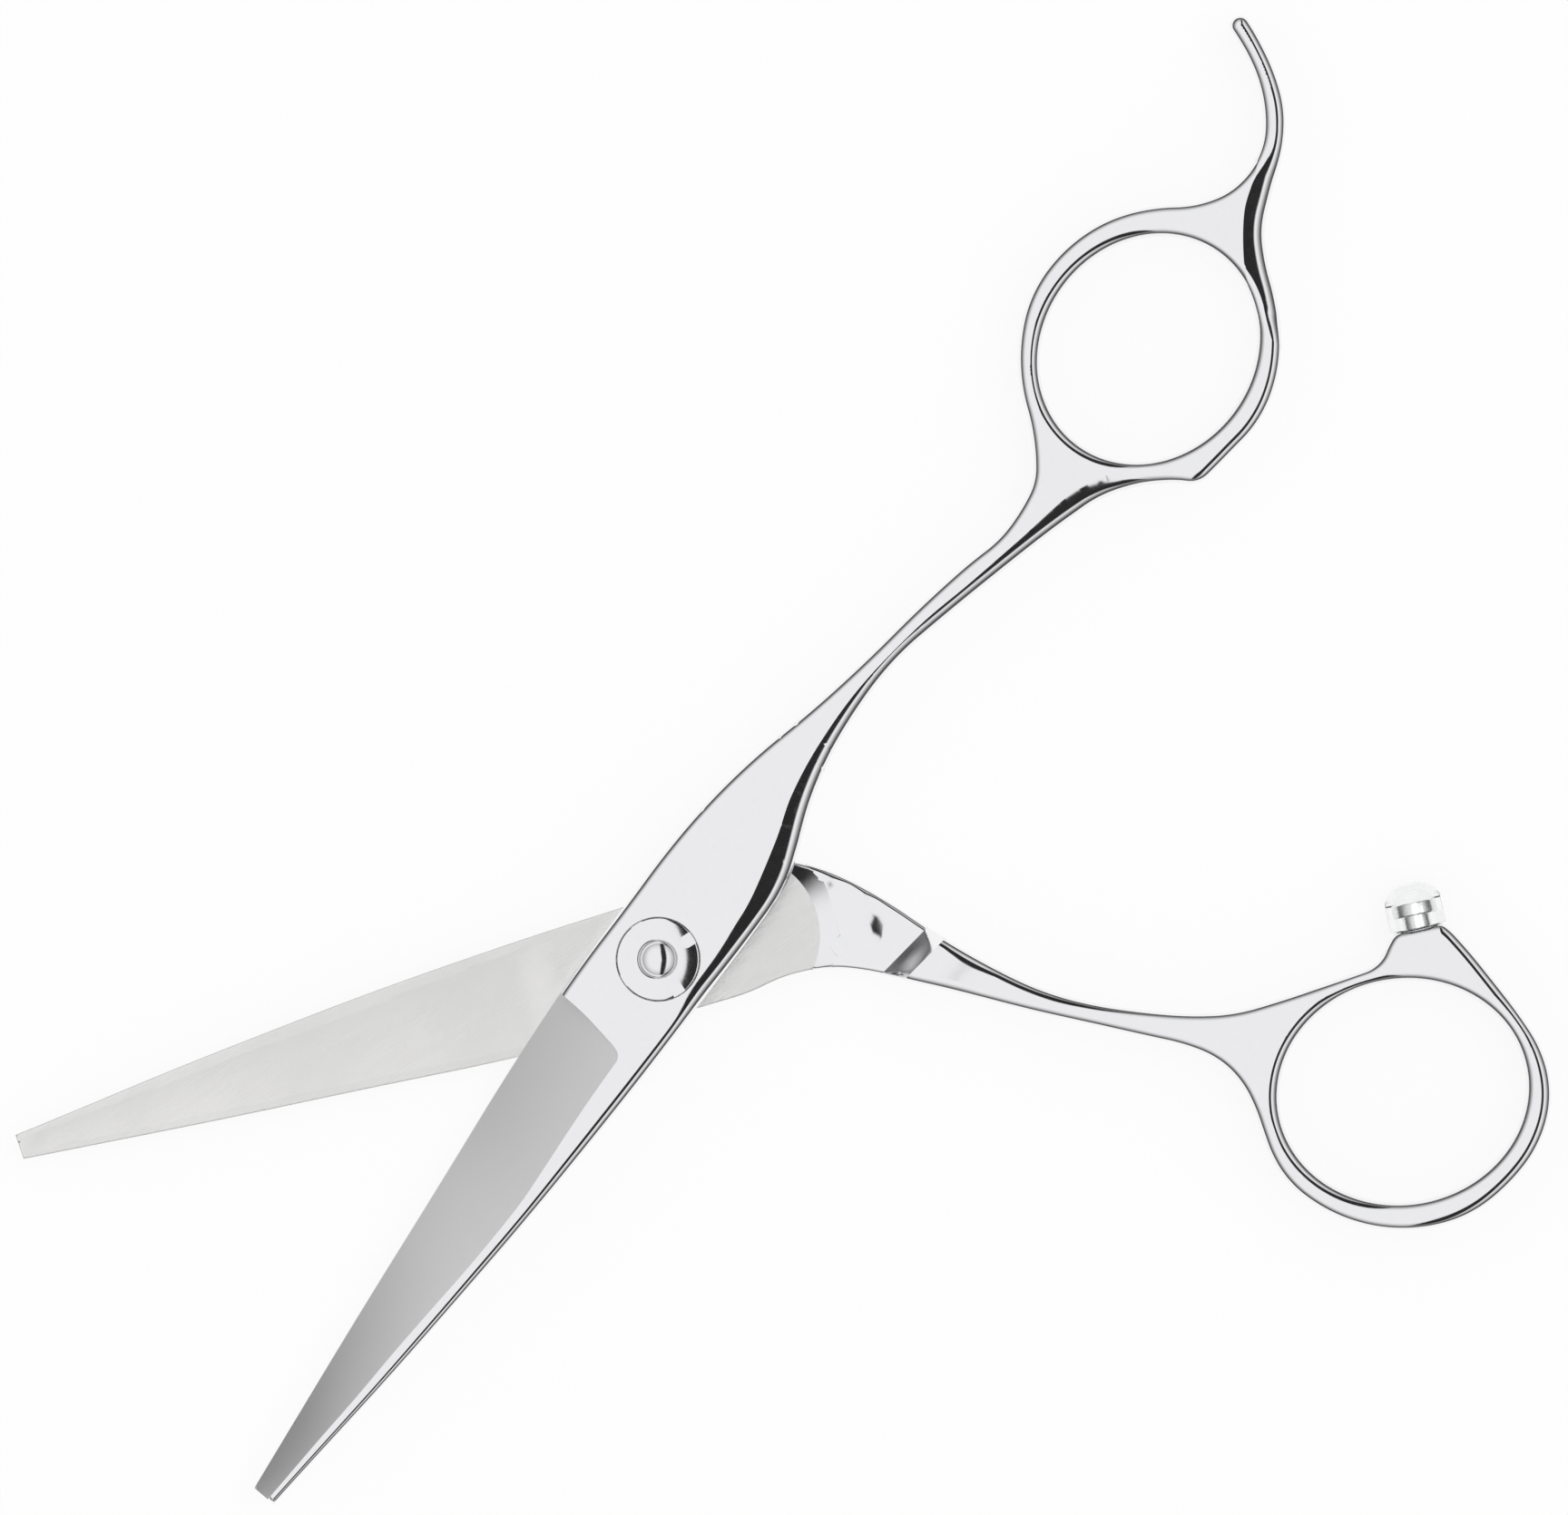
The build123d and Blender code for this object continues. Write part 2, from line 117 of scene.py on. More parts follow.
def cross(a, b):
    return a[0] * b[1] - a[1] * b[0]


def arc_points(start, end, direction, step):
    """Points along the arc that leaves its start along a direction, without its end."""
    chord = end - start
    lean = cross(direction, chord)
    span = chord.dot(chord)
    if abs(lean) < 1e-6 * span:
        count = max(1, ceil(sqrt(span) / step))
        return [start + chord * i / count for i in range(count)]
    turn = 2 * atan2(lean, direction.dot(chord))
    radius = span / (2 * lean)
    left = np.array((-direction[1], direction[0]))
    count = max(1, ceil(abs(turn * radius) / step), ceil(abs(turn) / radians(7)))
    angles = [turn * i / count for i in range(count)]
    return [start + radius * (sin(a) * direction + (1 - cos(a)) * left) for a in angles]


def chain_points(stations, step):
    """Points along tangent arcs, two from each station to the next, without the last."""
    points = []
    for start, end in zip(stations, stations[1:]):
        first, last = np.array(start[:2], float), np.array(end[:2], float)
        leaving, arriving = heading(start[2]), heading(end[2])
        span = last - first
        along = span.dot(leaving + arriving)
        turn = 1 - leaving.dot(arriving)
        if turn < 1e-9:
            arm = span.dot(span) / (2 * along)
        else:
            arm = (sqrt(along**2 + 2 * turn * span.dot(span)) - along) / (2 * turn)
        knee_start, knee_end = first + leaving * arm, last - arriving * arm
        middle = (knee_start + knee_end) / 2
        tangent = (knee_end - knee_start) / np.linalg.norm(knee_end - knee_start)
        points += arc_points(first, middle, leaving, step)
        points += arc_points(middle, last, tangent, step)
    return points


def half_outline(back, front, step):
    """The outline of one half, counter-clockwise from the tip's spine corner."""
    points = chain_points(BLADE_SPINE + back, step)
    if front is not None:
        end, turn_back = np.array(back[-1][:2]), np.array(FINGER_REST_RETURN[:2])
        points += arc_points(end, turn_back, heading(back[-1][2]), step)
        points += chain_points([FINGER_REST_RETURN] + front + BLADE_EDGE, step)
    else:
        points += chain_points([back[-1]] + BLADE_EDGE, step)
    corner, tip = np.array(BLADE_EDGE[-1][:2]), np.array(BLADE_SPINE[0][:2])
    count = ceil(np.linalg.norm(tip - corner) / step)
    points += [corner + (tip - corner) * i / count for i in range(count)]
    return np.array(points)


def oval(centre, radii, turn, step):
    """A hole's outline, clockwise, so that the steel is on its left."""
    count = ceil(pi * (radii[0] + radii[1]) / step)
    angles = -2 * pi * np.arange(count) / count
    across, up = radii[0] * np.cos(angles), radii[1] * np.sin(angles)
    c, s = cos(radians(turn)), sin(radians(turn))
    return np.stack((centre[0] + c * across - s * up, centre[1] + s * across + c * up), 1)


def spacing_on_cut(low, high):
    """Places along a cut, closer together near its two ends."""
    half = (high - low) / 2
    near = [0.02, 0.06, 0.12, 0.2, 0.3, 0.42, 0.56, 0.72, 0.9]
    inner = list(np.linspace(1.1, 2 * half - 1.1, ceil(2 * half - 2.2) + 1)[1:-1])
    return [low + d for d in near + [1.1] + inner] + [high - d for d in [1.1] + near[::-1]]


def cut_outline(loop, x, keep_low):
    """The part of an outline on one side of the cut at x, closed along the cut."""
    side = loop[:, 0] < x
    places = []
    for i in range(len(loop)):
        j = (i + 1) % len(loop)
        if side[i] != side[j]:
            t = (x - loop[i, 0]) / (loop[j, 0] - loop[i, 0])
            places.append((i, loop[i] + t * (loop[j] - loop[i])))
    (i, upper), (j, lower) = places
    rows = spacing_on_cut(lower[1], upper[1])
    if keep_low:
        body = loop[i + 1 : j + 1]
        closing = [(x, y) for y in rows]
        return np.array([upper, *body, lower, *closing])
    body = np.concatenate((loop[j + 1 :], loop[: i + 1]))
    closing = [(x, y) for y in rows[::-1]]
    return np.array([lower, *body, upper, *closing])


def polyline(points, step):
    """A broken line, divided into steps."""
    out = []
    for a, b in zip(points, points[1:]):
        a, b = np.array(a, float), np.array(b, float)
        count = max(1, ceil(np.linalg.norm(b - a) / step))
        out += [a + (b - a) * i / count for i in range(count)]
    return np.array(out + [np.array(points[-1], float)])


def smooth_line(points, step):
    """A smooth line through points."""
    p = np.array(points, float)
    out = []
    for i in range(len(p) - 1):
        before, after = p[max(i - 1, 0)], p[min(i + 2, len(p) - 1)]
        a, b = p[i], p[i + 1]
        count = max(1, ceil(np.linalg.norm(b - a) / step))
        for k in range(count):
            t = k / count
            out.append(
                0.5 * (2 * a + (b - before) * t + (2 * before - 5 * a + 4 * b - after) * t**2
                       + (3 * a - before - 3 * b + after) * t**3)
            )
    return np.array(out + [p[-1]])


def left_normals(loop):
    """Unit vectors to the left of an outline at its points."""
    along = np.roll(loop, -1, 0) - np.roll(loop, 1, 0)
    normals = np.stack((-along[:, 1], along[:, 0]), 1)
    return normals / np.linalg.norm(normals, axis=1, keepdims=True)


def nearest(points, loops):
    """How far each point lies inside the outlines, and the direction away from them."""
    starts = np.concatenate(loops)
    ends = np.concatenate([np.roll(l, -1, 0) for l in loops])
    normals = np.concatenate([left_normals(l) for l in loops])
    next_normals = np.concatenate([np.roll(left_normals(l), -1, 0) for l in loops])
    along = ends - starts
    square = (along**2).sum(1)
    distance = np.empty(len(points))
    away = np.empty((len(points), 2))
    for at in range(0, len(points), 2000):
        p = points[at : at + 2000]
        offset = p[:, None] - starts[None]
        t = np.clip((offset * along).sum(2) / square, 0, 1)
        gap = offset - t[..., None] * along
        far = (gap**2).sum(2)
        best = far.argmin(1)
        rows = np.arange(len(p))
        d = np.sqrt(far[rows, best])
        part = t[rows, best][:, None]
        smooth = (1 - part) * normals[best] + part * next_normals[best]
        smooth /= np.linalg.norm(smooth, axis=1, keepdims=True)
        straight = gap[rows, best] / np.maximum(d, 1e-9)[:, None]
        corner = ((smooth * straight).sum(1) < 0.95) & (d > 0.02)
        away[at : at + 2000] = np.where(corner[:, None], straight, smooth)
        distance[at : at + 2000] = d
    return distance, away


def is_inside(points, loops):
    """Whether each point is inside the outlines and outside their holes."""
    count = np.zeros(len(points), int)
    for loop in loops:
        a, b = loop, np.roll(loop, -1, 0)
        rise = b[:, 1] - a[:, 1]
        rise[rise == 0] = 1e-12
        for at in range(0, len(points), 4000):
            x, y = points[at : at + 4000, 0][:, None], points[at : at + 4000, 1][:, None]
            crosses = (a[:, 1] > y) != (b[:, 1] > y)
            where = a[:, 0] + (y - a[:, 1]) / rise * (b[:, 0] - a[:, 0])
            count[at : at + 4000] += (crosses & (x < where)).sum(1)
    return count % 2 == 1


def hermite(x, start, end):
    """A smooth step between two places (x, height, slope)."""
    x0, z0, m0 = start
    x1, z1, m1 = end
    t = np.clip((x - x0) / (x1 - x0), 0, 1)
    run = x1 - x0
    return ((2 * t**3 - 3 * t**2 + 1) * z0 + (t**3 - 2 * t**2 + t) * run * m0
            + (3 * t**2 - 2 * t**3) * z1 + (t**3 - t**2) * run * m1)


def fade(x, start, end):
    """Rises smoothly from 0 at start to 1 at end."""
    t = np.clip((x - start) / (end - start), 0, 1)
    return t * t * (3 - 2 * t)


# ---- forged steel -------------------------------------------------------------------
class Region:
    """A part of one side of a forging: where it is, how high it stands and its finish."""

    def __init__(self, holds, height, finish=0, rolled=True):
        self.holds, self.height, self.finish, self.rolled = holds, height, finish, rolled


class Roll:
    """The rounding of a forging's rim: its width and depth at each place."""

    def __init__(self, loops, width, depth):
        self.loops, self.width, self.depth = loops, width, depth


def fit_rolls(points, rolls):
    """Drop and slope of the rounded rims at points, kept within the wall's thickness."""
    gaps, aways, widths, depths = [], [], [], []
    for roll in rolls:
        d, away = nearest(points, roll.loops)
        gaps.append(d)
        aways.append(away)
        widths.append(roll.width(points) + 0 * d)
        depths.append(roll.depth(points) + 0 * d)
    if len(rolls) > 1:
        wall = sum(gaps)
        scale = np.clip(wall / (sum(widths) + 0.1), 0.4, 1)
        widths = [w * scale for w in widths]
    return gaps, aways, widths, depths


def region_of(points, regions):
    chosen = np.full(len(points), -1)
    for i, region in enumerate(regions):
        chosen[(chosen < 0) & region.holds(points)] = i
    return chosen


def side_heights(points, region, rims, sign):
    """Heights and outward normals of one region of a forging at points."""
    flat = region.height(points)
    tiny = 0.004
    slope = np.stack(
        [
            (region.height(points + step) - region.height(points - step)) / (2 * tiny)
            for step in (np.array((tiny, 0)), np.array((0, tiny)))
        ],
        1,
    )
    upright = np.ones(len(points))
    side = -sign * slope
    drop = np.zeros(len(points))
    if region.rolled:
        for d, away, width, depth in zip(*rims):
            u = np.clip((width - d) / np.maximum(width, 1e-6), 0, 1)
            rise = np.sqrt(np.maximum(1 - u * u, 1e-8))
            drop += depth * (1 - rise)
            push = (depth / np.maximum(width, 1e-6) * u)[:, None] * away
            side = side * rise[:, None] - push * upright[:, None]
            upright = upright * rise
    heights = flat - sign * drop
    normals = np.concatenate((side, sign * upright[:, None]), 1)
    return heights, normals / np.linalg.norm(normals, axis=1, keepdims=True)


def rim_points(loops, width, inside_loops):
    """Free points in rings along rims, close together where the rim rolls over."""
    rings = []
    for share in (0.012, 0.05, 0.12, 0.22, 0.35, 0.5, 0.67, 0.84, 1.0, 1.2):
        for loop in loops:
            ring = loop + left_normals(loop) * width * share
            rings.append((ring, width * share))
    kept = []
    for ring, depth in rings:
        d, _ = nearest(ring, inside_loops)
        kept.append(ring[d > depth * 0.97 - 0.002])
    return np.concatenate(kept)


def grid_points(loops, spacing, clear):
    low, high = loops[0].min(0), loops[0].max(0)
    xs = np.arange(low[0], high[0], spacing)
    ys = np.arange(low[1], high[1], spacing)
    x, y = np.meshgrid(xs, ys)
    x[1::2] += spacing / 2
    points = np.stack((x.ravel(), y.ravel()), 1)
    points = points[is_inside(points, loops)]
    d, _ = nearest(points, loops)
    return points[d > clear]


def drop_near(points, lines, clear):
    """Points that are not close to any of the lines."""
    for line in lines:
        starts, ends = line[:-1], line[1:]
        along = ends - starts
        square = (along**2).sum(1)
        keep = np.ones(len(points), bool)
        for at in range(0, len(points), 4000):
            offset = points[at : at + 4000][:, None] - starts[None]
            t = np.clip((offset * along).sum(2) / square, 0, 1)
            gap = offset - t[..., None] * along
            keep[at : at + 4000] = np.sqrt((gap**2).sum(2)).min(1) > clear
        points = points[keep]
    return points


def forging(name, loops, rims, sides, seams, to_row, finishes, roll_width=0.85):
    """A closed solid of forged steel over an outline.

    rims are the outlines that are rounded, sides the regions of its outer and inner
    side with the rolls of each, and seams the lines where regions meet.
    """
    free = np.concatenate(
        (rim_points(rims, roll_width, rims), grid_points(loops, 0.8, roll_width * 1.3))
    )
    free = free[is_inside(free, loops)]
    free = drop_near(free, [np.concatenate((l, l[:1])) for l in loops], 0.008)
    free = drop_near(free, seams, 0.05)
    vertices, edges = [], []
    for loop in loops:
        base = len(vertices)
        vertices += list(loop)
        edges += [(base + i, base + (i + 1) % len(loop)) for i in range(len(loop))]
    for seam in seams:
        base = len(vertices)
        vertices += list(seam)
        edges += [(base + i, base + i + 1) for i in range(len(seam) - 1)]
    vertices += list(free)
    flat, _, triangles, *_ = geometry.delaunay_2d_cdt(
        [Vector(v) for v in vertices], edges, [], 0, 1e-5
    )
    plane = np.array([(v.x, v.y) for v in flat])
    triangles = np.array(triangles)
    middles = plane[triangles].mean(1)
    triangles = triangles[is_inside(middles, loops)]
    middles = plane[triangles].mean(1)

    corners, normals, faces, slots = [], [], [], []

    def add_face(places, face_normals, slot):
        faces.append(range(len(corners), len(corners) + len(places)))
        corners.extend(places)
        normals.extend(face_normals)
        slots.append(slot)

    used, local = np.unique(triangles, return_inverse=True)
    local = local.reshape(triangles.shape)
    points = plane[used]
    rim_heights = []
    for sign, (regions, rolls) in zip((1, -1), sides):
        rolled = fit_rolls(points, rolls)
        found = [side_heights(points, region, rolled, sign) for region in regions]
        chosen = region_of(middles, regions)
        edge_use = {}
        for triangle, which in zip(local, chosen):
            heights, face_normals = found[which]
            order = triangle if sign > 0 else triangle[::-1]
            add_face(
                [(*points[v], heights[v]) for v in order],
                [face_normals[v] for v in order],
                regions[which].finish,
            )
            for k in range(3):
                a, b = int(triangle[k]), int(triangle[(k + 1) % 3])
                edge_use.setdefault((min(a, b), max(a, b)), []).append((a, b, which))
        rims_found = {}
        for (a, b), uses in edge_use.items():
            if len(uses) == 1:
                rims_found[(uses[0][0], uses[0][1])] = uses[0][2]
                continue
            (a, b, first), (_, _, second) = uses
            if first == second:
                continue
            z1, z2 = found[first][0], found[second][0]
            if abs(z1[a] - z2[a]) < 2e-4 and abs(z1[b] - z2[b]) < 2e-4:
                continue
            along = points[b] - points[a]
            out = np.array((along[1], -along[0], 0)) / np.linalg.norm(along)
            step = (z1[a] + z1[b] - z2[a] - z2[b]) * sign
            out = out if step > 0 else -out
            quad = [(*points[a], z1[a]), (*points[a], z2[a]), (*points[b], z2[b]),
                    (*points[b], z1[b])]
            if sign < 0:
                quad = quad[::-1]
            add_face(quad, [out] * 4, regions[first].finish)
        rim_heights.append((rims_found, found))
    upper, lower = rim_heights
    used_by = np.array(list(upper[0].keys()))
    ends = points[np.unique(used_by)]
    _, end_away = nearest(ends, loops)
    away_at = dict(zip(np.unique(used_by).tolist(), end_away))
    for (a, b), which in upper[0].items():
        top, bottom = upper[1][which][0], lower[1][lower[0][(a, b)]][0]
        along = points[b] - points[a]
        square = np.array((along[1], -along[0], 0)) / np.linalg.norm(along)
        outs = []
        for v in (a, b):
            smooth = np.array((*-away_at[v], 0))
            outs.append(smooth if smooth.dot(square) > 0.9 else square)
        wall = [(*points[a], bottom[a]), (*points[b], bottom[b]), (*points[b], top[b]),
                (*points[a], top[a])]
        add_face(wall, [outs[0], outs[1], outs[1], outs[0]], sides[0][0][which].finish)
    return closed_mesh(name, np.array(corners), np.array(normals), faces, slots, to_row,
                       finishes)


def closed_mesh(name, corners, normals, faces, slots, to_row, finishes):
    """One object from loose faces: their corners joined, each with its own normal."""
    turn = np.array(to_row.to_3x3())
    places = (corners @ turn.T + np.array(to_row.translation)) * MM
    normals = normals @ turn.T
    _, first, joined = np.unique(
        np.round(places * 1e7).astype(np.int64), axis=0, return_index=True,
        return_inverse=True,
    )
    joined = joined.ravel()
    kept_faces, kept_corners, kept_slots = [], [], []
    for face, slot in zip(faces, slots):
        ring, ids = [], []
        for corner in face:
            if joined[corner] not in ids:
                ids.append(int(joined[corner]))
                ring.append(corner)
        if len(ids) > 2:
            kept_faces.append(ids)
            kept_corners.extend(ring)
            kept_slots.append(slot)
    mesh = bpy.data.meshes.new(name)
    mesh.from_pydata(places[first].tolist(), [], kept_faces)
    mesh.polygons.foreach_set("use_smooth", [True] * len(mesh.polygons))
    for finish in finishes:
        mesh.materials.append(finish)
    mesh.polygons.foreach_set("material_index", kept_slots)
    mesh.normals_split_custom_set([tuple(n) for n in normals[kept_corners]])
    piece = bpy.data.objects.new(name, mesh)
    bpy.context.scene.collection.objects.link(piece)
    return piece


# ---- the two halves -----------------------------------------------------------------
def row_matrix(finger):
    """Where a half lies in the row, in millimetres."""
    a = radians(OPEN_HALF_ANGLE)
    if finger:
        return Matrix(((cos(a), -sin(a), 0, 0), (sin(a), cos(a), 0, 0),
                       (0, 0, 1, PIVOT_THICKNESS + RIDE_GAP), (0, 0, 0, 1)))
    return Matrix(((cos(a), -sin(a), 0, 0), (-sin(a), -cos(a), 0, 0),
                   (0, 0, -1, PIVOT_THICKNESS), (0, 0, 0, 1)))


def outer_face(points):
    """Height of the outer face before it is rounded: thick at the pivot, falling to the
    tip and to the shank."""
    x = points[:, 0]
    shank = hermite(x, (FALL_END, HANDLE_OUTER, 0), (FALL_START, PIVOT_THICKNESS, 0))
    taper = hermite(x, (BEVEL_START, PIVOT_THICKNESS, 0), TAPER_STATION)
    tip = hermite(x, TAPER_STATION, (BLADE_LENGTH, TIP_THICKNESS, TIP_SLOPE))
    return np.where(x < FALL_START, shank, np.where(x < TAPER_STATION[0], taper, tip))


def always(points):
    return np.ones(len(points), bool)


def distance_from(points, centre):
    return np.hypot(points[:, 0] - centre[0], points[:, 1] - centre[1])


def line_y(line, x):
    order = np.argsort(line[:, 0])
    return np.interp(x, line[order, 0], line[order, 1])


OUTLINE_STEP = 0.3
finger_outline = half_outline(FINGER_BACK, FINGER_FRONT, OUTLINE_STEP)
thumb_outline = half_outline(THUMB_BACK, None, OUTLINE_STEP)
finger_oval = oval(*FINGER_HOLE, OUTLINE_STEP)
thumb_oval = oval(*THUMB_HOLE, OUTLINE_STEP)
bevel_top = smooth_line(BEVEL_TOP, 0.5)
bevel_border = np.concatenate((smooth_line(BEVEL_STEP + BEVEL_TOP[:1], 0.3)[:-1], bevel_top))
bevel_area = np.concatenate((bevel_border, [(60.0, 0.1), (60.0, -8.0), (7.15, -8.0)]))
edge_line = np.array(chain_points(BLADE_EDGE, 0.5) + [np.array((56.5, -1.32))])
ridge_line = smooth_line(RIDGE, 0.4)
rest_ridge_line = smooth_line(REST_RIDGE, 0.4)
edge_line = edge_line[np.argsort(edge_line[:, 0])]


def circle(centre, radius, count, turn=1):
    angles = turn * 2 * pi * np.arange(count) / count
    return np.stack((centre[0] + radius * np.cos(angles), centre[1] + radius * np.sin(angles)), 1)


def bevel_face(points):
    """The convex bevel, from the cutting edge up to its border."""
    x, y = points[:, 0], points[:, 1]
    low, high = line_y(edge_line, x), line_y(bevel_top, np.maximum(x, 9.0))
    t = np.clip((y - low) / (high - low), 0, 1.3)
    top = outer_face(np.stack((np.maximum(x, 9.0), y), 1))
    return EDGE_THICKNESS + (top - EDGE_THICKNESS) * (t + 0.1 * t * (1 - t))


def in_bevel(points):
    return is_inside(points, [bevel_area])


def past_line(points, line):
    """How far points lie past a line, on the side of the spine."""
    starts, along = line[:-1], line[1:] - line[:-1]
    offset = points[:, None] - starts[None]
    t = np.clip((offset * along).sum(2) / (along**2).sum(1), 0, 1)
    gap = np.sqrt(((offset - t[..., None] * along) ** 2).sum(2)).min(1)
    return np.where(points[:, 1] > line_y(line, points[:, 0]), gap, 0)


def facet_face(points):
    """The outer face past the crease, which leans to the back of the shears."""
    x, past = points[:, 0], past_line(points, ridge_line)
    lean = CREASE_LEAN * (1 - fade(x, -1, 4.5)) * fade(x, -59.5, -56)
    return outer_face(points) - lean * past


def past_ridge(points):
    x, y = points[:, 0], points[:, 1]
    return (y > line_y(ridge_line, x)) & (x < 4.5) & (x > -59.5)


def rest_facet(points):
    x, past = points[:, 0], past_line(points, rest_ridge_line)
    lean = CREASE_LEAN * fade(x, -88, -84) * (1 - fade(x, -75, -73))
    return outer_face(points) - lean * past


def past_rest_ridge(points):
    x, y = points[:, 0], points[:, 1]
    return (y > line_y(rest_ridge_line, x)) & (x < -73) & (x > -88)


def ride_face(points):
    """The face that rides on the other half, hollow ground along the blade."""
    x, y = points[:, 0], points[:, 1]
    share = (x - 11) / 44
    low, high = -4.1 + 3.2 * share, 4.1 - 3.6 * share
    depth = HOLLOW_DEPTH * (1 - 0.75 * share) * fade(x, 8.5, 12) * (1 - fade(x, 54, 56))
    across = (y - (low + high) / 2) / ((high - low) / 2)
    return np.maximum(depth * (1 - across**2), 0) + 0 * x


def on_ride(points):
    x = points[:, 0]
    return (distance_from(points, RIDE_CENTRE) < RIDE_RADIUS) | (x > RIDE_CENTRE[0])


def neck_slope(points):
    r = distance_from(points, RIDE_CENTRE)
    return RIDE_STEP * (r - RIDE_RADIUS) / (NECK_RADIUS - RIDE_RADIUS)


def on_neck_slope(points):
    return distance_from(points, RIDE_CENTRE) < NECK_RADIUS


def riser(foot, direction):
    """How far points lie past the foot of the slope from neck to shank."""
    along = heading(direction)

    def past(points):
        return (points - np.array(foot)) @ along

    return past


FINGER_FOOT = (-21.3, 0)
THUMB_FOOT, THUMB_RISER_HEADING = (-20.1, -5.25), 240.6
finger_riser = riser(FINGER_FOOT, 180)
thumb_riser = riser(THUMB_FOOT, THUMB_RISER_HEADING)


def neck_face(points):
    """The neck's inner side, with the shallow waves that hand polishing leaves."""
    waves = sum(
        depth * np.exp(-((distance_from(points, place) / reach) ** 2))
        for place, reach, depth in (((-16.6, 1.6), 1.3, 0.12), ((-17.6, -1.6), 1.4, -0.12),
                                    ((-18.9, 0.2), 1.1, 0.1), ((-19.3, -3.6), 1.3, 0.11),
                                    ((-16.4, -3.4), 1.0, 0.09))
    )
    return RIDE_STEP + waves


def riser_face(past):
    fall = (HANDLE_INNER + RIDE_STEP) / RISER_RUN
    return lambda points: RIDE_STEP - fall * past(points)


def shank_face(past):
    """The shank's inner side, which dips a little past the riser."""

    def height(points):
        s = past(points)
        return 0.3 * fade(s, 2.2, 7) * (1 - fade(s, 12, 26)) - HANDLE_INNER

    return height


def level(height):
    return lambda points: np.full(len(points), height)


def rim_width(points):
    """The rounded rim is narrower towards the tip of the blade."""
    return 0.92 - 0.42 * fade(points[:, 0], 8, 57)


def rim_depth(points):
    return 0.7 - 0.3 * fade(points[:, 0], 5, 57)


def inner_rim(past, full):
    """Width or depth of the inner rim: fine on the blade and its neck, full on the shank."""

    def size(points):
        blade = 0.12 + 0.33 * fade(-points[:, 0], 11, 15)
        return blade + (full - blade) * fade(past(points), 0.2, 1.6)

    return size


def seam_across(foot, direction, past):
    """A straight seam across the handle, so far past the riser's foot."""
    along = heading(direction)
    left = np.array((-along[1], along[0]))
    middle = np.array(foot) + along * past
    return polyline([middle - 12 * left, middle + 12 * left], 0.5)


def build_half(outline, ring, past, foot, direction, names, finger):
    """The blade and the handle of one half, welded where they meet."""
    brushed = "finger_ride" if finger else "thumb_ride"
    finishes = [finish_of(key) for key in ("mirror", "satin", brushed)]
    body = "finger_half" if finger else "thumb_half"
    blade_loop = cut_outline(outline, WELD_X, False)
    handle_loop = cut_outline(outline, WELD_X, True)
    bore, recess, floor = BORE_AND_RECESS[finger]
    to_row = row_matrix(finger)
    top_regions = [Region(always, outer_face)]
    if finger:
        top_regions = [Region(past_ridge, facet_face), Region(past_rest_ridge, rest_facet)]
        top_regions.append(Region(always, outer_face))
    bottom_regions = [
        Region(on_ride, ride_face, 2),
        Region(on_neck_slope, neck_slope),
        Region(lambda p: past(p) < 0, neck_face),
        Region(lambda p: past(p) < RISER_RUN, riser_face(past)),
        Region(always, shank_face(past)),
    ]
    blade_top = [
        Region(lambda p: distance_from(p, (0, 0)) < recess, level(floor), 1, False),
        Region(in_bevel, bevel_face, 1, False),
    ] + top_regions
    outer_roll = [Roll([outline], rim_width, rim_depth)]
    inner_roll = [Roll([outline], inner_rim(past, 0.92), inner_rim(past, 0.7))]
    hole_roll = Roll([ring], level(0.95), level(0.85))
    ride_end = circle(RIDE_CENTRE, RIDE_RADIUS, 96)
    neck_end = circle(RIDE_CENTRE, NECK_RADIUS, 120)
    ride_end = ride_end[ride_end[:, 0] < RIDE_CENTRE[0]]
    neck_end = neck_end[neck_end[:, 0] < RIDE_CENTRE[0]]
    seams = [bevel_border, ride_end, circle((0, 0), recess, 96)]
    seams[2] = np.concatenate((seams[2], seams[2][:1]))
    neck_seams = [neck_end] + [seam_across(foot, direction, s) for s in (0, RISER_RUN)]
    if finger:
        seams.append(ridge_line[ridge_line[:, 0] > WELD_X])
        neck_seams += [ridge_line[ridge_line[:, 0] < WELD_X], rest_ridge_line]
    blade = forging(
        names[0] + "_steel", [blade_loop, circle((0, 0), bore, 72, -1)], [outline],
        [(blade_top, outer_roll), (bottom_regions, inner_roll)], seams, to_row, finishes,
    )
    handle = forging(
        names[1] + "_steel", [handle_loop, ring], [outline, ring],
        [(top_regions, outer_roll + [hole_roll]), (bottom_regions, inner_roll + [hole_roll])],
        neck_seams, to_row, finishes,
    )
    for piece, node, slot in ((blade, names[0], "blade_steel"),
                              (handle, names[1], "polished_steel")):
        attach(piece, body)
        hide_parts(node)


# ---- shader trees -------------------------------------------------------------------
class Value:
    """A number that varies over a surface. Sums and products of it become nodes."""

    def __init__(self, tree, socket):
        self.tree, self.socket = tree, socket

    def _join(self, operation, first, second):
        node = self.tree.node("ShaderNodeMath", {"operation": operation}, {0: first, 1: second})
        return Value(self.tree, node.outputs[0])

    def __add__(self, other):
        return self._join("ADD", self, other)

    def __sub__(self, other):
        return self._join("SUBTRACT", self, other)

    def __rsub__(self, other):
        return self._join("SUBTRACT", other, self)

    def __mul__(self, other):
        return self._join("MULTIPLY", self, other)

    __radd__, __rmul__ = __add__, __mul__


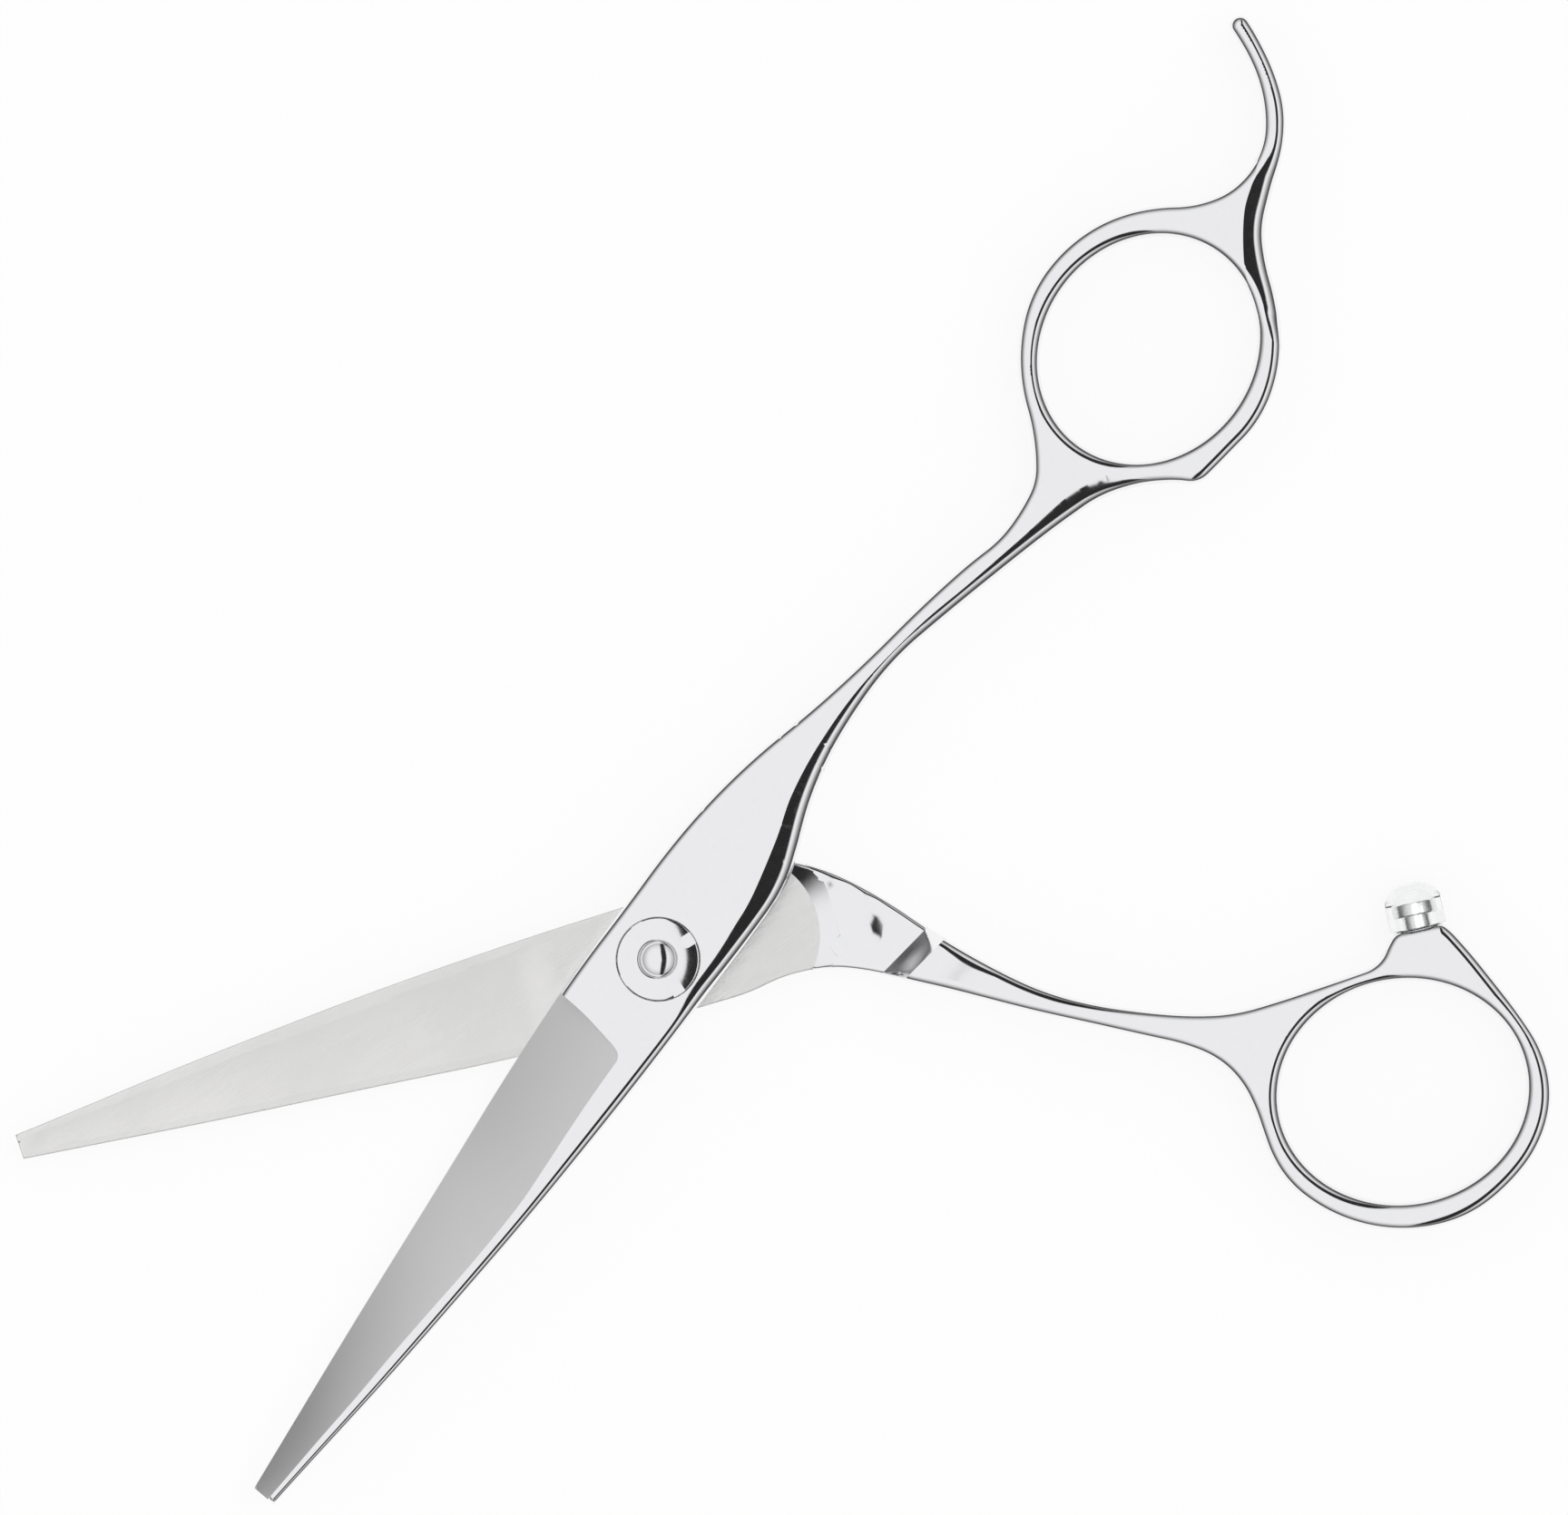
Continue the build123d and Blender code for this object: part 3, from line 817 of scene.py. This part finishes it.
class Tree:
    """A node tree under construction."""

    def __init__(self, owner):
        owner.use_nodes = True
        self.tree = owner.node_tree
        self.tree.nodes.clear()

    def node(self, kind, settings=None, values=None):
        """A node of a kind: its settings first, then a value or link for each socket."""
        node = self.tree.nodes.new(kind)
        for key, setting in (settings or {}).items():
            if key == "stops":
                ramp = node.color_ramp
                while len(ramp.elements) < len(setting):
                    ramp.elements.new(1.0)
                for element, (place, colour) in zip(ramp.elements, setting):
                    element.position, element.color = place, colour
            else:
                setattr(node, key, setting)
        for key, value in (values or {}).items():
            if isinstance(value, Value):
                value = value.socket
            if isinstance(value, bpy.types.NodeSocket):
                self.tree.links.new(value, node.inputs[key])
            else:
                node.inputs[key].default_value = value
        return node

    def value(self, kind, settings=None, values=None, output=0):
        return Value(self, self.node(kind, settings, values).outputs[output])

    def noise(self, place, scale, detail=3.0):
        return self.value(
            "ShaderNodeTexNoise", {}, {"Vector": place, "Scale": scale, "Detail": detail}
        )

    def spread(self, value, low, high, to_low, to_high):
        return self.value(
            "ShaderNodeMapRange", {"interpolation_type": "SMOOTHSTEP"},
            {0: value, 1: low, 2: high, 3: to_low, 4: to_high},
        )

    def blend(self, share, first, second):
        """A colour between two."""
        return self.node(
            "ShaderNodeMix", {"data_type": "RGBA"},
            {0: share, 6: (*first, 1), 7: (*second, 1)},
        ).outputs[2]

    def place(self, stretch=(1, 1, 1), turn=0.0):
        coordinates = self.node("ShaderNodeTexCoord").outputs["Object"]
        return self.node(
            "ShaderNodeMapping", {}, {"Vector": coordinates, "Rotation": (0, 0, turn),
                                      "Scale": stretch}
        ).outputs[0]


def steel(name, tint, rough, rough_spread, grain, grain_scale, bump, turn=0.0):
    """Steel with a grain along one direction: mirror, satin or brushed by its numbers."""
    material = bpy.data.materials.new(name)
    tree = Tree(material)
    fine = tree.noise(tree.place(grain, turn), grain_scale, 4)
    cloud = tree.noise(tree.place(), 90, 2)
    dark = tuple(c * 0.965 for c in tint)
    colour = tree.blend(fine, dark, tint)
    roughness = tree.spread(fine * 0.6 + cloud * 0.4, 0.3, 0.7, rough, rough + rough_spread)
    bumped = tree.node(
        "ShaderNodeBump", {}, {"Strength": bump, "Distance": 0.00002, "Height": fine}
    ).outputs[0]
    shader = tree.node(
        "ShaderNodeBsdfPrincipled", {},
        {"Base Color": colour, "Metallic": 1.0, "Roughness": roughness, "Normal": bumped},
    )
    tree.node("ShaderNodeOutputMaterial", {}, {"Surface": shader.outputs[0]})
    return material


def clear_rubber(name, tint):
    """The clear bumper: soft plastic with a faint haze."""
    material = bpy.data.materials.new(name)
    tree = Tree(material)
    haze = tree.noise(tree.place(), 900, 3)
    shader = tree.node(
        "ShaderNodeBsdfPrincipled", {},
        {"Base Color": (*tint, 1), "Roughness": tree.spread(haze, 0.3, 0.7, 0.02, 0.09),
         "IOR": 1.41, "Transmission Weight": 1.0},
    )
    tree.node("ShaderNodeOutputMaterial", {}, {"Surface": shader.outputs[0]})
    return material


def plastic(name, tint):
    material = bpy.data.materials.new(name)
    tree = Tree(material)
    grain = tree.noise(tree.place(), 2500, 3)
    colour = tree.blend(grain, [c * 0.93 for c in tint], tint)
    shader = tree.node(
        "ShaderNodeBsdfPrincipled", {},
        {"Base Color": colour, "Roughness": tree.spread(grain, 0.3, 0.7, 0.35, 0.5)},
    )
    tree.node("ShaderNodeOutputMaterial", {}, {"Surface": shader.outputs[0]})
    return material


# ---- settings -----------------------------------------------------------------------
class ShearsFinishes(bpy.types.PropertyGroup):
    """Colours and roughness of the finishes."""

    mirror: bpy.props.FloatVectorProperty(
        name="Mirror steel", description="Colour of the polished steel", subtype="COLOR",
        default=(0.93, 0.93, 0.94), min=0, max=1,
    )
    satin: bpy.props.FloatVectorProperty(
        name="Satin steel", description="Colour of the outer bevels", subtype="COLOR",
        default=(0.8, 0.79, 0.785), min=0, max=1,
    )
    ride: bpy.props.FloatVectorProperty(
        name="Ride steel", description="Colour of the brushed inner faces", subtype="COLOR",
        default=(0.97, 0.965, 0.95), min=0, max=1,
    )
    clear: bpy.props.FloatVectorProperty(
        name="Bumper", description="Tint of the clear bumper", subtype="COLOR",
        default=(0.96, 0.97, 0.97), min=0, max=1,
    )
    washer: bpy.props.FloatVectorProperty(
        name="Washer", description="Colour of the bearing washer", subtype="COLOR",
        default=(0.8, 0.79, 0.75), min=0, max=1,
    )
    mirror_rough: bpy.props.FloatProperty(
        name="Mirror roughness", description="Roughness of the polished steel",
        default=0.05, min=0, max=1,
    )
    satin_rough: bpy.props.FloatProperty(
        name="Satin roughness", description="Roughness of the satin steel",
        default=0.34, min=0, max=1,
    )


class ShearsSizes(bpy.types.PropertyGroup):
    """Sizes of the small round pieces."""

    dial_radius: bpy.props.FloatProperty(
        name="Dial radius", description="Outer radius of the tension dial", default=0.0035,
        unit="LENGTH",
    )
    notch_count: bpy.props.IntProperty(
        name="Notches", description="Key notches in the dial", default=4, min=2, max=8,
    )
    notch_width: bpy.props.FloatProperty(
        name="Notch width", description="Width of one notch", default=0.0011, unit="LENGTH",
    )
    notch_length: bpy.props.FloatProperty(
        name="Notch length", description="From the dial's rim inwards", default=0.00125,
        unit="LENGTH",
    )
    notch_depth: bpy.props.FloatProperty(
        name="Notch depth", description="Below the dial's rim", default=0.00045,
        unit="LENGTH",
    )
    notch_turn: bpy.props.FloatProperty(
        name="Notch turn", description="Turn of the first notch", default=radians(-3),
        subtype="ANGLE",
    )


def finish_of(key):
    """One of the materials of the shears, made when it is first asked for."""
    looks = bpy.context.scene.shears_finishes
    grown = {
        "mirror": lambda n: steel(n, looks.mirror, looks.mirror_rough, 0.03, (1, 1, 1), 1500,
                                  0.02),
        "satin": lambda n: steel(n, looks.satin, looks.satin_rough, 0.08, (1, 1, 1), 5200,
                                 0.25),
        "finger_ride": lambda n: steel(n, looks.ride, 0.3, 0.1, (0.06, 1, 1), 6000, 0.5,
                                       radians(-OPEN_HALF_ANGLE)),
        "thumb_ride": lambda n: steel(n, looks.ride, 0.3, 0.1, (0.06, 1, 1), 6000, 0.5,
                                      radians(OPEN_HALF_ANGLE)),
        "bolt": lambda n: steel(n, looks.mirror, 0.07, 0.05, (1, 1, 1), 2500, 0.05),
        "stud": lambda n: steel(n, looks.ride, 0.2, 0.12, (1, 1, 0.1), 4000, 0.4),
        "bumper": lambda n: clear_rubber(n, looks.clear),
        "washer": lambda n: plastic(n, looks.washer),
    }
    name = "shears_" + key
    return bpy.data.materials.get(name) or grown[key](name)


# ---- turned pieces ------------------------------------------------------------------
def arc_profile(start, middle, end, count):
    """Points (radius, height) of an arc through three places, without its last."""
    (ax, ay), (bx, by), (cx, cy) = start, middle, end
    d = 2 * (ax * (by - cy) + bx * (cy - ay) + cx * (ay - by))
    a2, b2, c2 = ax * ax + ay * ay, bx * bx + by * by, cx * cx + cy * cy
    x = (a2 * (by - cy) + b2 * (cy - ay) + c2 * (ay - by)) / d
    y = (a2 * (cx - bx) + b2 * (ax - cx) + c2 * (bx - ax)) / d
    radius = sqrt((ax - x) ** 2 + (ay - y) ** 2)
    first, via, last = (atan2(q - y, p - x) for p, q in (start, middle, end))
    turn = (last - first) % (2 * pi)
    if (via - first) % (2 * pi) > turn:
        turn -= 2 * pi
    return [
        (x + radius * cos(first + turn * i / count), y + radius * sin(first + turn * i / count))
        for i in range(count)
    ]


def turned(name, profile, finish, segments=96, seat=Matrix(), sharp=28):
    """A solid of revolution from its closed profile, set on a seat, in metres."""
    vertices, rings = [], []
    for radius, height in profile:
        if radius < 1e-6:
            rings.append([len(vertices)] * segments)
            vertices.append((0, 0, height))
        else:
            rings.append([len(vertices) + k for k in range(segments)])
            vertices += [
                (radius * cos(2 * pi * k / segments), radius * sin(2 * pi * k / segments), height)
                for k in range(segments)
            ]
    faces = []
    for lower, upper in zip(rings, rings[1:] + rings[:1]):
        for k in range(segments):
            n = (k + 1) % segments
            face = list(dict.fromkeys((lower[k], lower[n], upper[n], upper[k])))
            if len(face) > 2:
                faces.append(face)
    places = [(seat @ Vector(v)) * MM for v in vertices]
    mesh = bpy.data.meshes.new(name)
    mesh.from_pydata(places, [], faces)
    mesh.polygons.foreach_set("use_smooth", [True] * len(mesh.polygons))
    mesh.set_sharp_from_angle(angle=radians(sharp))
    mesh.materials.append(finish)
    piece = bpy.data.objects.new(name, mesh)
    bpy.context.scene.collection.objects.link(piece)
    return piece


def seat_in_half(place, axis_heading, finger):
    """A seat for a turned piece: its origin and axis lie in the frame of a half."""
    to_row = row_matrix(finger)
    origin = to_row @ Vector(place)
    axis = (to_row.to_3x3() @ Vector((*heading(axis_heading), 0))).normalized()
    side = Vector((0, 0, 1))
    third = axis.cross(side)
    turn = Matrix((side, third, axis)).transposed().to_4x4()
    return Matrix.Translation(origin) @ turn


class SHEARS_OT_finger_half(bpy.types.Operator):
    """Forges the upper blade and the finger handle with its rest."""

    bl_idname = "shears.finger_half"
    bl_label = "Finger half"

    def execute(self, context):
        build_half(finger_outline, finger_oval, finger_riser, FINGER_FOOT, 180,
                   ("upper_blade", "finger_handle"), True)
        return {"FINISHED"}


class SHEARS_OT_thumb_half(bpy.types.Operator):
    """Forges the lower blade and the thumb handle."""

    bl_idname = "shears.thumb_half"
    bl_label = "Thumb half"

    def execute(self, context):
        build_half(thumb_outline, thumb_oval, thumb_riser, THUMB_FOOT, THUMB_RISER_HEADING,
                   ("lower_blade", "thumb_handle"), False)
        return {"FINISHED"}


class SHEARS_OT_pivot(bpy.types.Operator):
    """Turns the pivot bolt and dresses the bushing, the washer and the click spring."""

    bl_idname = "shears.pivot"
    bl_label = "Pivot"

    def execute(self, context):
        profile = [(0, 0), (3.12, 0), (3.2, 0.03), (3.27, 0.1), (3.3, 0.18), (3.3, 1.0),
                   (2.4, 1.0), (2.4, 5.09), (1.6, 5.09), (1.6, 6.0), (1.57, 6.06),
                   (1.5, 6.12), (1.42, 6.15), (1.36, 6.16), (1.355, 6.2)]
        profile += arc_profile((1.34, 6.26), (0.78, 6.49), (0, 6.58), 14) + [(0, 6.58)]
        bolt = turned("pivot_bolt_steel", profile, finish_of("bolt"), 128)
        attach(bolt, "thumb_half")
        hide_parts("pivot_bolt")
        for node, key in (("pivot_bushing", "bolt"), ("click_spring", "bolt"),
                          ("bearing_washer", "washer")):
            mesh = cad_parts[node].data
            mesh.materials.clear()
            mesh.materials.append(finish_of(key))
        return {"FINISHED"}


class SHEARS_OT_dial(bpy.types.Operator):
    """Turns the tension dial and mills its ring of key notches."""

    bl_idname = "shears.dial"
    bl_label = "Tension dial"

    def execute(self, context):
        sizes = context.scene.shears_sizes
        r = sizes.dial_radius / MM
        profile = [(1.63, 5.11), (r - 0.05, 5.11), (r, 5.16), (r, 5.95), (r - 0.02, 6.0),
                   (r - 0.05, 6.035)]
        profile += arc_profile((r - 0.1, 6.055), (2.7, 6.155), (1.8, 6.21), 14)
        profile += [(1.8, 6.21), (1.7, 6.205), (1.65, 6.18), (1.63, 6.13)]
        blank = turned("tension_dial_steel", profile, finish_of("mirror"), 128)
        group, ids = notch_tree()
        modifier = blank.modifiers.new("notches", "NODES")
        modifier.node_group = group
        values = {
            "Count": sizes.notch_count, "Reach": sizes.dial_radius,
            "Width": sizes.notch_width, "Length": sizes.notch_length,
            "Floor": 0.00606 - sizes.notch_depth, "Turn": sizes.notch_turn,
            "Finish": finish_of("bolt"),
        }
        for key, value in values.items():
            modifier[ids[key]] = value
        context.view_layer.update()
        evaluated = blank.evaluated_get(context.evaluated_depsgraph_get())
        mesh = bpy.data.meshes.new_from_object(evaluated)
        blank.modifiers.clear()
        old, blank.data = blank.data, mesh
        bpy.data.meshes.remove(old)
        mesh.name = "tension_dial_steel"
        if len(mesh.polygons) < 500:
            raise RuntimeError("the dial's notches were not cut")
        mesh.polygons.foreach_set("use_smooth", [True] * len(mesh.polygons))
        mesh.set_sharp_from_angle(angle=radians(24))
        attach(blank, "dial")
        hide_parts("tension_dial")
        return {"FINISHED"}


def notch_tree():
    """Geometry nodes that cut a ring of open slots with round ends into a disc."""
    group = bpy.data.node_groups.new("dial_notches", "GeometryNodeTree")
    face = group.interface
    face.new_socket("Geometry", in_out="INPUT", socket_type="NodeSocketGeometry")
    sockets = {
        key: face.new_socket(key, in_out="INPUT", socket_type="NodeSocket" + kind)
        for key, kind in (("Count", "Int"), ("Reach", "Float"), ("Width", "Float"),
                          ("Length", "Float"), ("Floor", "Float"), ("Turn", "Float"),
                          ("Finish", "Material"))
    }
    face.new_socket("Geometry", in_out="OUTPUT", socket_type="NodeSocketGeometry")
    nodes, links = group.nodes, group.links

    def add(kind, settings=None, values=None):
        node = nodes.new(kind)
        for key, setting in (settings or {}).items():
            setattr(node, key, setting)
        for key, value in (values or {}).items():
            if isinstance(value, bpy.types.NodeSocket):
                links.new(value, node.inputs[key])
            else:
                node.inputs[key].default_value = value
        return node

    def maths(operation, first, second):
        return add("ShaderNodeMath", {"operation": operation}, {0: first, 1: second}).outputs[0]

    given = add("NodeGroupInput").outputs
    height = 0.002
    half_width = maths("MULTIPLY", given["Width"], 0.5)
    inner = maths("SUBTRACT", given["Reach"], maths("SUBTRACT", given["Length"], half_width))
    middle = maths("ADD", given["Floor"], height / 2)
    end = add("GeometryNodeMeshCylinder", {},
              {"Vertices": 40, "Radius": half_width, "Depth": height}).outputs["Mesh"]
    end_place = add("ShaderNodeCombineXYZ", {}, {0: inner, 2: middle}).outputs[0]
    end = add("GeometryNodeTransform", {},
              {"Geometry": end, "Translation": end_place}).outputs[0]
    size = add("ShaderNodeCombineXYZ", {}, {0: given["Reach"], 1: given["Width"], 2: height})
    slot = add("GeometryNodeMeshCube", {}, {"Size": size.outputs[0]}).outputs["Mesh"]
    slot_place = add(
        "ShaderNodeCombineXYZ", {},
        {0: maths("ADD", inner, maths("MULTIPLY", given["Reach"], 0.5)), 2: middle},
    ).outputs[0]
    slot = add("GeometryNodeTransform", {},
               {"Geometry": slot, "Translation": slot_place}).outputs[0]
    cutter = add("GeometryNodeMeshBoolean", {"operation": "UNION", "solver": "EXACT"})
    links.new(end, cutter.inputs["Mesh 2"])
    links.new(slot, cutter.inputs["Mesh 2"])
    points = add("GeometryNodePoints", {}, {"Count": given["Count"]}).outputs[0]
    index = add("GeometryNodeInputIndex").outputs[0]
    share = maths("DIVIDE", maths("MULTIPLY", index, 2 * pi), given["Count"])
    turn = add("ShaderNodeCombineXYZ", {}, {2: maths("ADD", share, given["Turn"])}).outputs[0]
    ring = add("GeometryNodeInstanceOnPoints", {},
               {"Points": points, "Instance": cutter.outputs[0], "Rotation": turn})
    ring = add("GeometryNodeRealizeInstances", {}, {"Geometry": ring.outputs[0]})
    cut = add("GeometryNodeMeshBoolean", {"operation": "DIFFERENCE", "solver": "EXACT"})
    links.new(given["Geometry"], cut.inputs["Mesh 1"])
    links.new(ring.outputs[0], cut.inputs["Mesh 2"])
    painted = add("GeometryNodeSetMaterial", {},
                  {"Geometry": cut.outputs[0], "Material": given["Finish"]})
    links.new(painted.outputs[0], add("NodeGroupOutput").inputs[0])
    return group, {key: socket.identifier for key, socket in sockets.items()}


class SHEARS_OT_bumper(bpy.types.Operator):
    """Turns the stud and moulds the clear bumper over its head."""

    bl_idname = "shears.bumper"
    bl_label = "Bumper"

    def execute(self, context):
        seat = seat_in_half((-62.697, -15.405, -0.025), 94, False)
        stud = turned(
            "bumper_stud_steel",
            [(0, -2.8), (0.9, -2.8), (1.0, -2.7), (1.0, 0), (1.2, 0), (1.2, 1.1), (1.8, 1.1),
             (1.9, 1.2), (1.9, 2.08), (1.87, 2.15), (1.8, 2.2), (0, 2.2)],
            finish_of("stud"), 72, seat,
        )
        cap_profile = [(1.25, 0), (2.3, 0), (2.37, 0.03), (2.4, 0.1)]
        cap_profile += [(2.4, 0.1 + 0.3 * k) for k in range(1, 8)]
        cap_profile += arc_profile((2.4, 2.4), (1.69, 3.45), (0, 3.88), 16)
        cap_profile += [(0, 3.88), (0, 2.25), (1.85, 2.25), (1.95, 2.15), (1.95, 1.05),
                        (1.25, 1.05)]
        cap = turned("bumper_cap_clear", cap_profile, finish_of("bumper"), 72, seat)
        for piece, node, slot in ((stud, "bumper_stud", "stud_steel"),
                                  (cap, "bumper_cap", "clear_bumper")):
            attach(piece, "thumb_half")
            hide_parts(node)
        return {"FINISHED"}


# ---- stage --------------------------------------------------------------------------
CAMERA_RIGHT = Vector((-0.8184, 0.5747, 0)).normalized()
CAMERA_UP = Vector((-0.5747, -0.8184, 0)).normalized()
VIEW_CENTRE = (-0.01855, -0.00786, 0.0035)
VIEW_WIDTH = 0.13306
VIEW_DISTANCE = 1.48
SENSOR = 36.0


def studio_world():
    """Soft light from all round, with the dark cards that polished steel mirrors."""
    world = bpy.data.worlds.new("studio")
    bpy.context.scene.world = world
    tree = Tree(world)
    toward = tree.node("ShaderNodeTexCoord").outputs["Generated"]

    def along(axis):
        return tree.value("ShaderNodeVectorMath", {"operation": "DOT_PRODUCT"},
                          {0: toward, 1: tuple(axis)}, 1)

    def tilt(side, up):
        return tree.value("ShaderNodeMath", {"operation": "ARCTAN2"}, {0: side, 1: up})

    right, ahead, up = along(CAMERA_RIGHT), along(CAMERA_UP), along(Vector((0, 0, 1)))
    lean = tilt(right, up) * (180 / pi)
    nod = tilt(ahead, up) * (180 / pi)
    card = tree.spread(lean, 8, 10, 0, 1) * tree.spread(lean, 25, 31, 1, 0)
    card = card * tree.spread(nod, -75, -55, 0, 1) * tree.spread(nod, 55, 75, 1, 0)
    grey = tree.spread(lean, 34, 70, 0.0, 0.5) + tree.spread(lean, -70, -24, 0.5, 0.0)
    haze = tree.spread(nod, -80, -25, 0.45, 0.0) + tree.spread(nod, 25, 80, 0.0, 0.45)
    low = tree.spread(up, 0.15, 0.86, 0.84, 0.0)
    level = (1 - card * 0.975) * (0.9 - grey * 0.6 - haze * 0.4) * (1 - low)
    glow = tree.node("ShaderNodeCombineColor", {}, {0: level, 1: level, 2: level * 1.01})
    seen = tree.node("ShaderNodeBackground", {}, {"Color": glow.outputs[0], "Strength": 1.0})
    soft = tree.node("ShaderNodeBackground", {}, {"Color": (0.9, 0.9, 0.9, 1), "Strength": 0.9})
    ray = tree.node("ShaderNodeLightPath")
    mirror = tree.value("ShaderNodeMath", {"operation": "MAXIMUM"},
                        {0: ray.outputs["Is Glossy Ray"], 1: ray.outputs["Is Transmission Ray"]})
    mixed = tree.node("ShaderNodeMixShader", {}, {0: mirror, 1: soft.outputs[0],
                                                  2: seen.outputs[0]})
    tree.node("ShaderNodeOutputWorld", {}, {"Surface": mixed.outputs[0]})


def floor_material():
    material = bpy.data.materials.new("stage_floor")
    tree = Tree(material)
    mottle = tree.noise(tree.place(), 3, 2)
    colour = tree.blend(mottle, (0.91, 0.91, 0.91), (0.93, 0.93, 0.93))
    cloth = tree.node("ShaderNodeBsdfDiffuse", {}, {"Color": colour})
    white = tree.node("ShaderNodeEmission", {}, {"Color": (1, 1, 1, 1), "Strength": 1.0})
    ray = tree.node("ShaderNodeLightPath").outputs
    seen = Value(tree, ray["Is Camera Ray"]) + Value(tree, ray["Is Glossy Ray"])
    seen = seen + Value(tree, ray["Is Transmission Ray"])
    share = tree.value("ShaderNodeMath", {"operation": "MINIMUM"}, {0: seen, 1: 1.0}) * 0.86
    mixed = tree.node("ShaderNodeMixShader", {}, {0: share, 1: cloth.outputs[0],
                                                  2: white.outputs[0]})
    tree.node("ShaderNodeOutputMaterial", {}, {"Surface": mixed.outputs[0]})
    return material


class SHEARS_OT_stage(bpy.types.Operator):
    """Sets up the floor, the soft light and the camera."""

    bl_idname = "shears.stage"
    bl_label = "Stage"

    def execute(self, context):
        scene = context.scene
        scene.view_settings.view_transform = "Standard"
        studio_world()
        mesh = bpy.data.meshes.new("stage_floor")
        half, level = 2.0, -0.00002
        mesh.from_pydata([(-half, -half, level), (half, -half, level), (half, half, level),
                          (-half, half, level)], [], [(0, 1, 2, 3)])
        mesh.materials.append(floor_material())
        floor = bpy.data.objects.new("stage_floor", mesh)
        scene.collection.objects.link(floor)
        lamp = bpy.data.lights.new("soft_lamp", "AREA")
        lamp.shape, lamp.size, lamp.energy = "DISK", 0.9, 2.2
        light = bpy.data.objects.new("soft_lamp", lamp)
        light.location = (-0.25, 0.1, 0.9)
        light.rotation_euler = Vector((0.25, -0.1, -0.9)).to_track_quat("-Z", "Y").to_euler()
        light.visible_glossy = False
        scene.collection.objects.link(light)
        data = bpy.data.cameras.new("camera")
        data.sensor_width = SENSOR
        data.lens = SENSOR * VIEW_DISTANCE / VIEW_WIDTH
        data.clip_start, data.clip_end = 0.01, 20
        camera = bpy.data.objects.new("camera", data)
        turn = Matrix((CAMERA_RIGHT, CAMERA_UP, CAMERA_RIGHT.cross(CAMERA_UP))).transposed()
        centre = Vector(VIEW_CENTRE)
        camera.matrix_world = Matrix.Translation(
            centre + Vector((0, 0, VIEW_DISTANCE))
        ) @ turn.to_4x4()
        scene.collection.objects.link(camera)
        scene.camera = camera
        return {"FINISHED"}


class SHEARS_PT_panel(bpy.types.Panel):
    """Lists the pieces of the shears in the sidebar."""

    bl_label = "Hair cutting shears"
    bl_idname = "SHEARS_PT_panel"
    bl_space_type = "VIEW_3D"
    bl_region_type = "UI"
    bl_category = "Shears"

    def draw(self, context):
        layout = self.layout
        for operator in OPERATORS:
            layout.operator(operator.bl_idname)
        for group in (context.scene.shears_sizes, context.scene.shears_finishes):
            for key in group.__annotations__:
                layout.prop(group, key)


OPERATORS = (SHEARS_OT_stage, SHEARS_OT_finger_half, SHEARS_OT_thumb_half, SHEARS_OT_pivot,
             SHEARS_OT_dial, SHEARS_OT_bumper)
CLASSES = (ShearsFinishes, ShearsSizes, *OPERATORS, SHEARS_PT_panel)


def register():
    for each in CLASSES:
        bpy.utils.register_class(each)
    bpy.types.Scene.shears_finishes = bpy.props.PointerProperty(type=ShearsFinishes)
    bpy.types.Scene.shears_sizes = bpy.props.PointerProperty(type=ShearsSizes)


def unregister():
    del bpy.types.Scene.shears_sizes
    del bpy.types.Scene.shears_finishes
    for each in reversed(CLASSES):
        bpy.utils.unregister_class(each)


def main():
    register()
    bpy.ops.shears.stage()
    bpy.ops.shears.finger_half()
    bpy.ops.shears.thumb_half()
    bpy.ops.shears.pivot()
    bpy.ops.shears.dial()
    bpy.ops.shears.bumper()


if __name__ == "__main__":
    main()
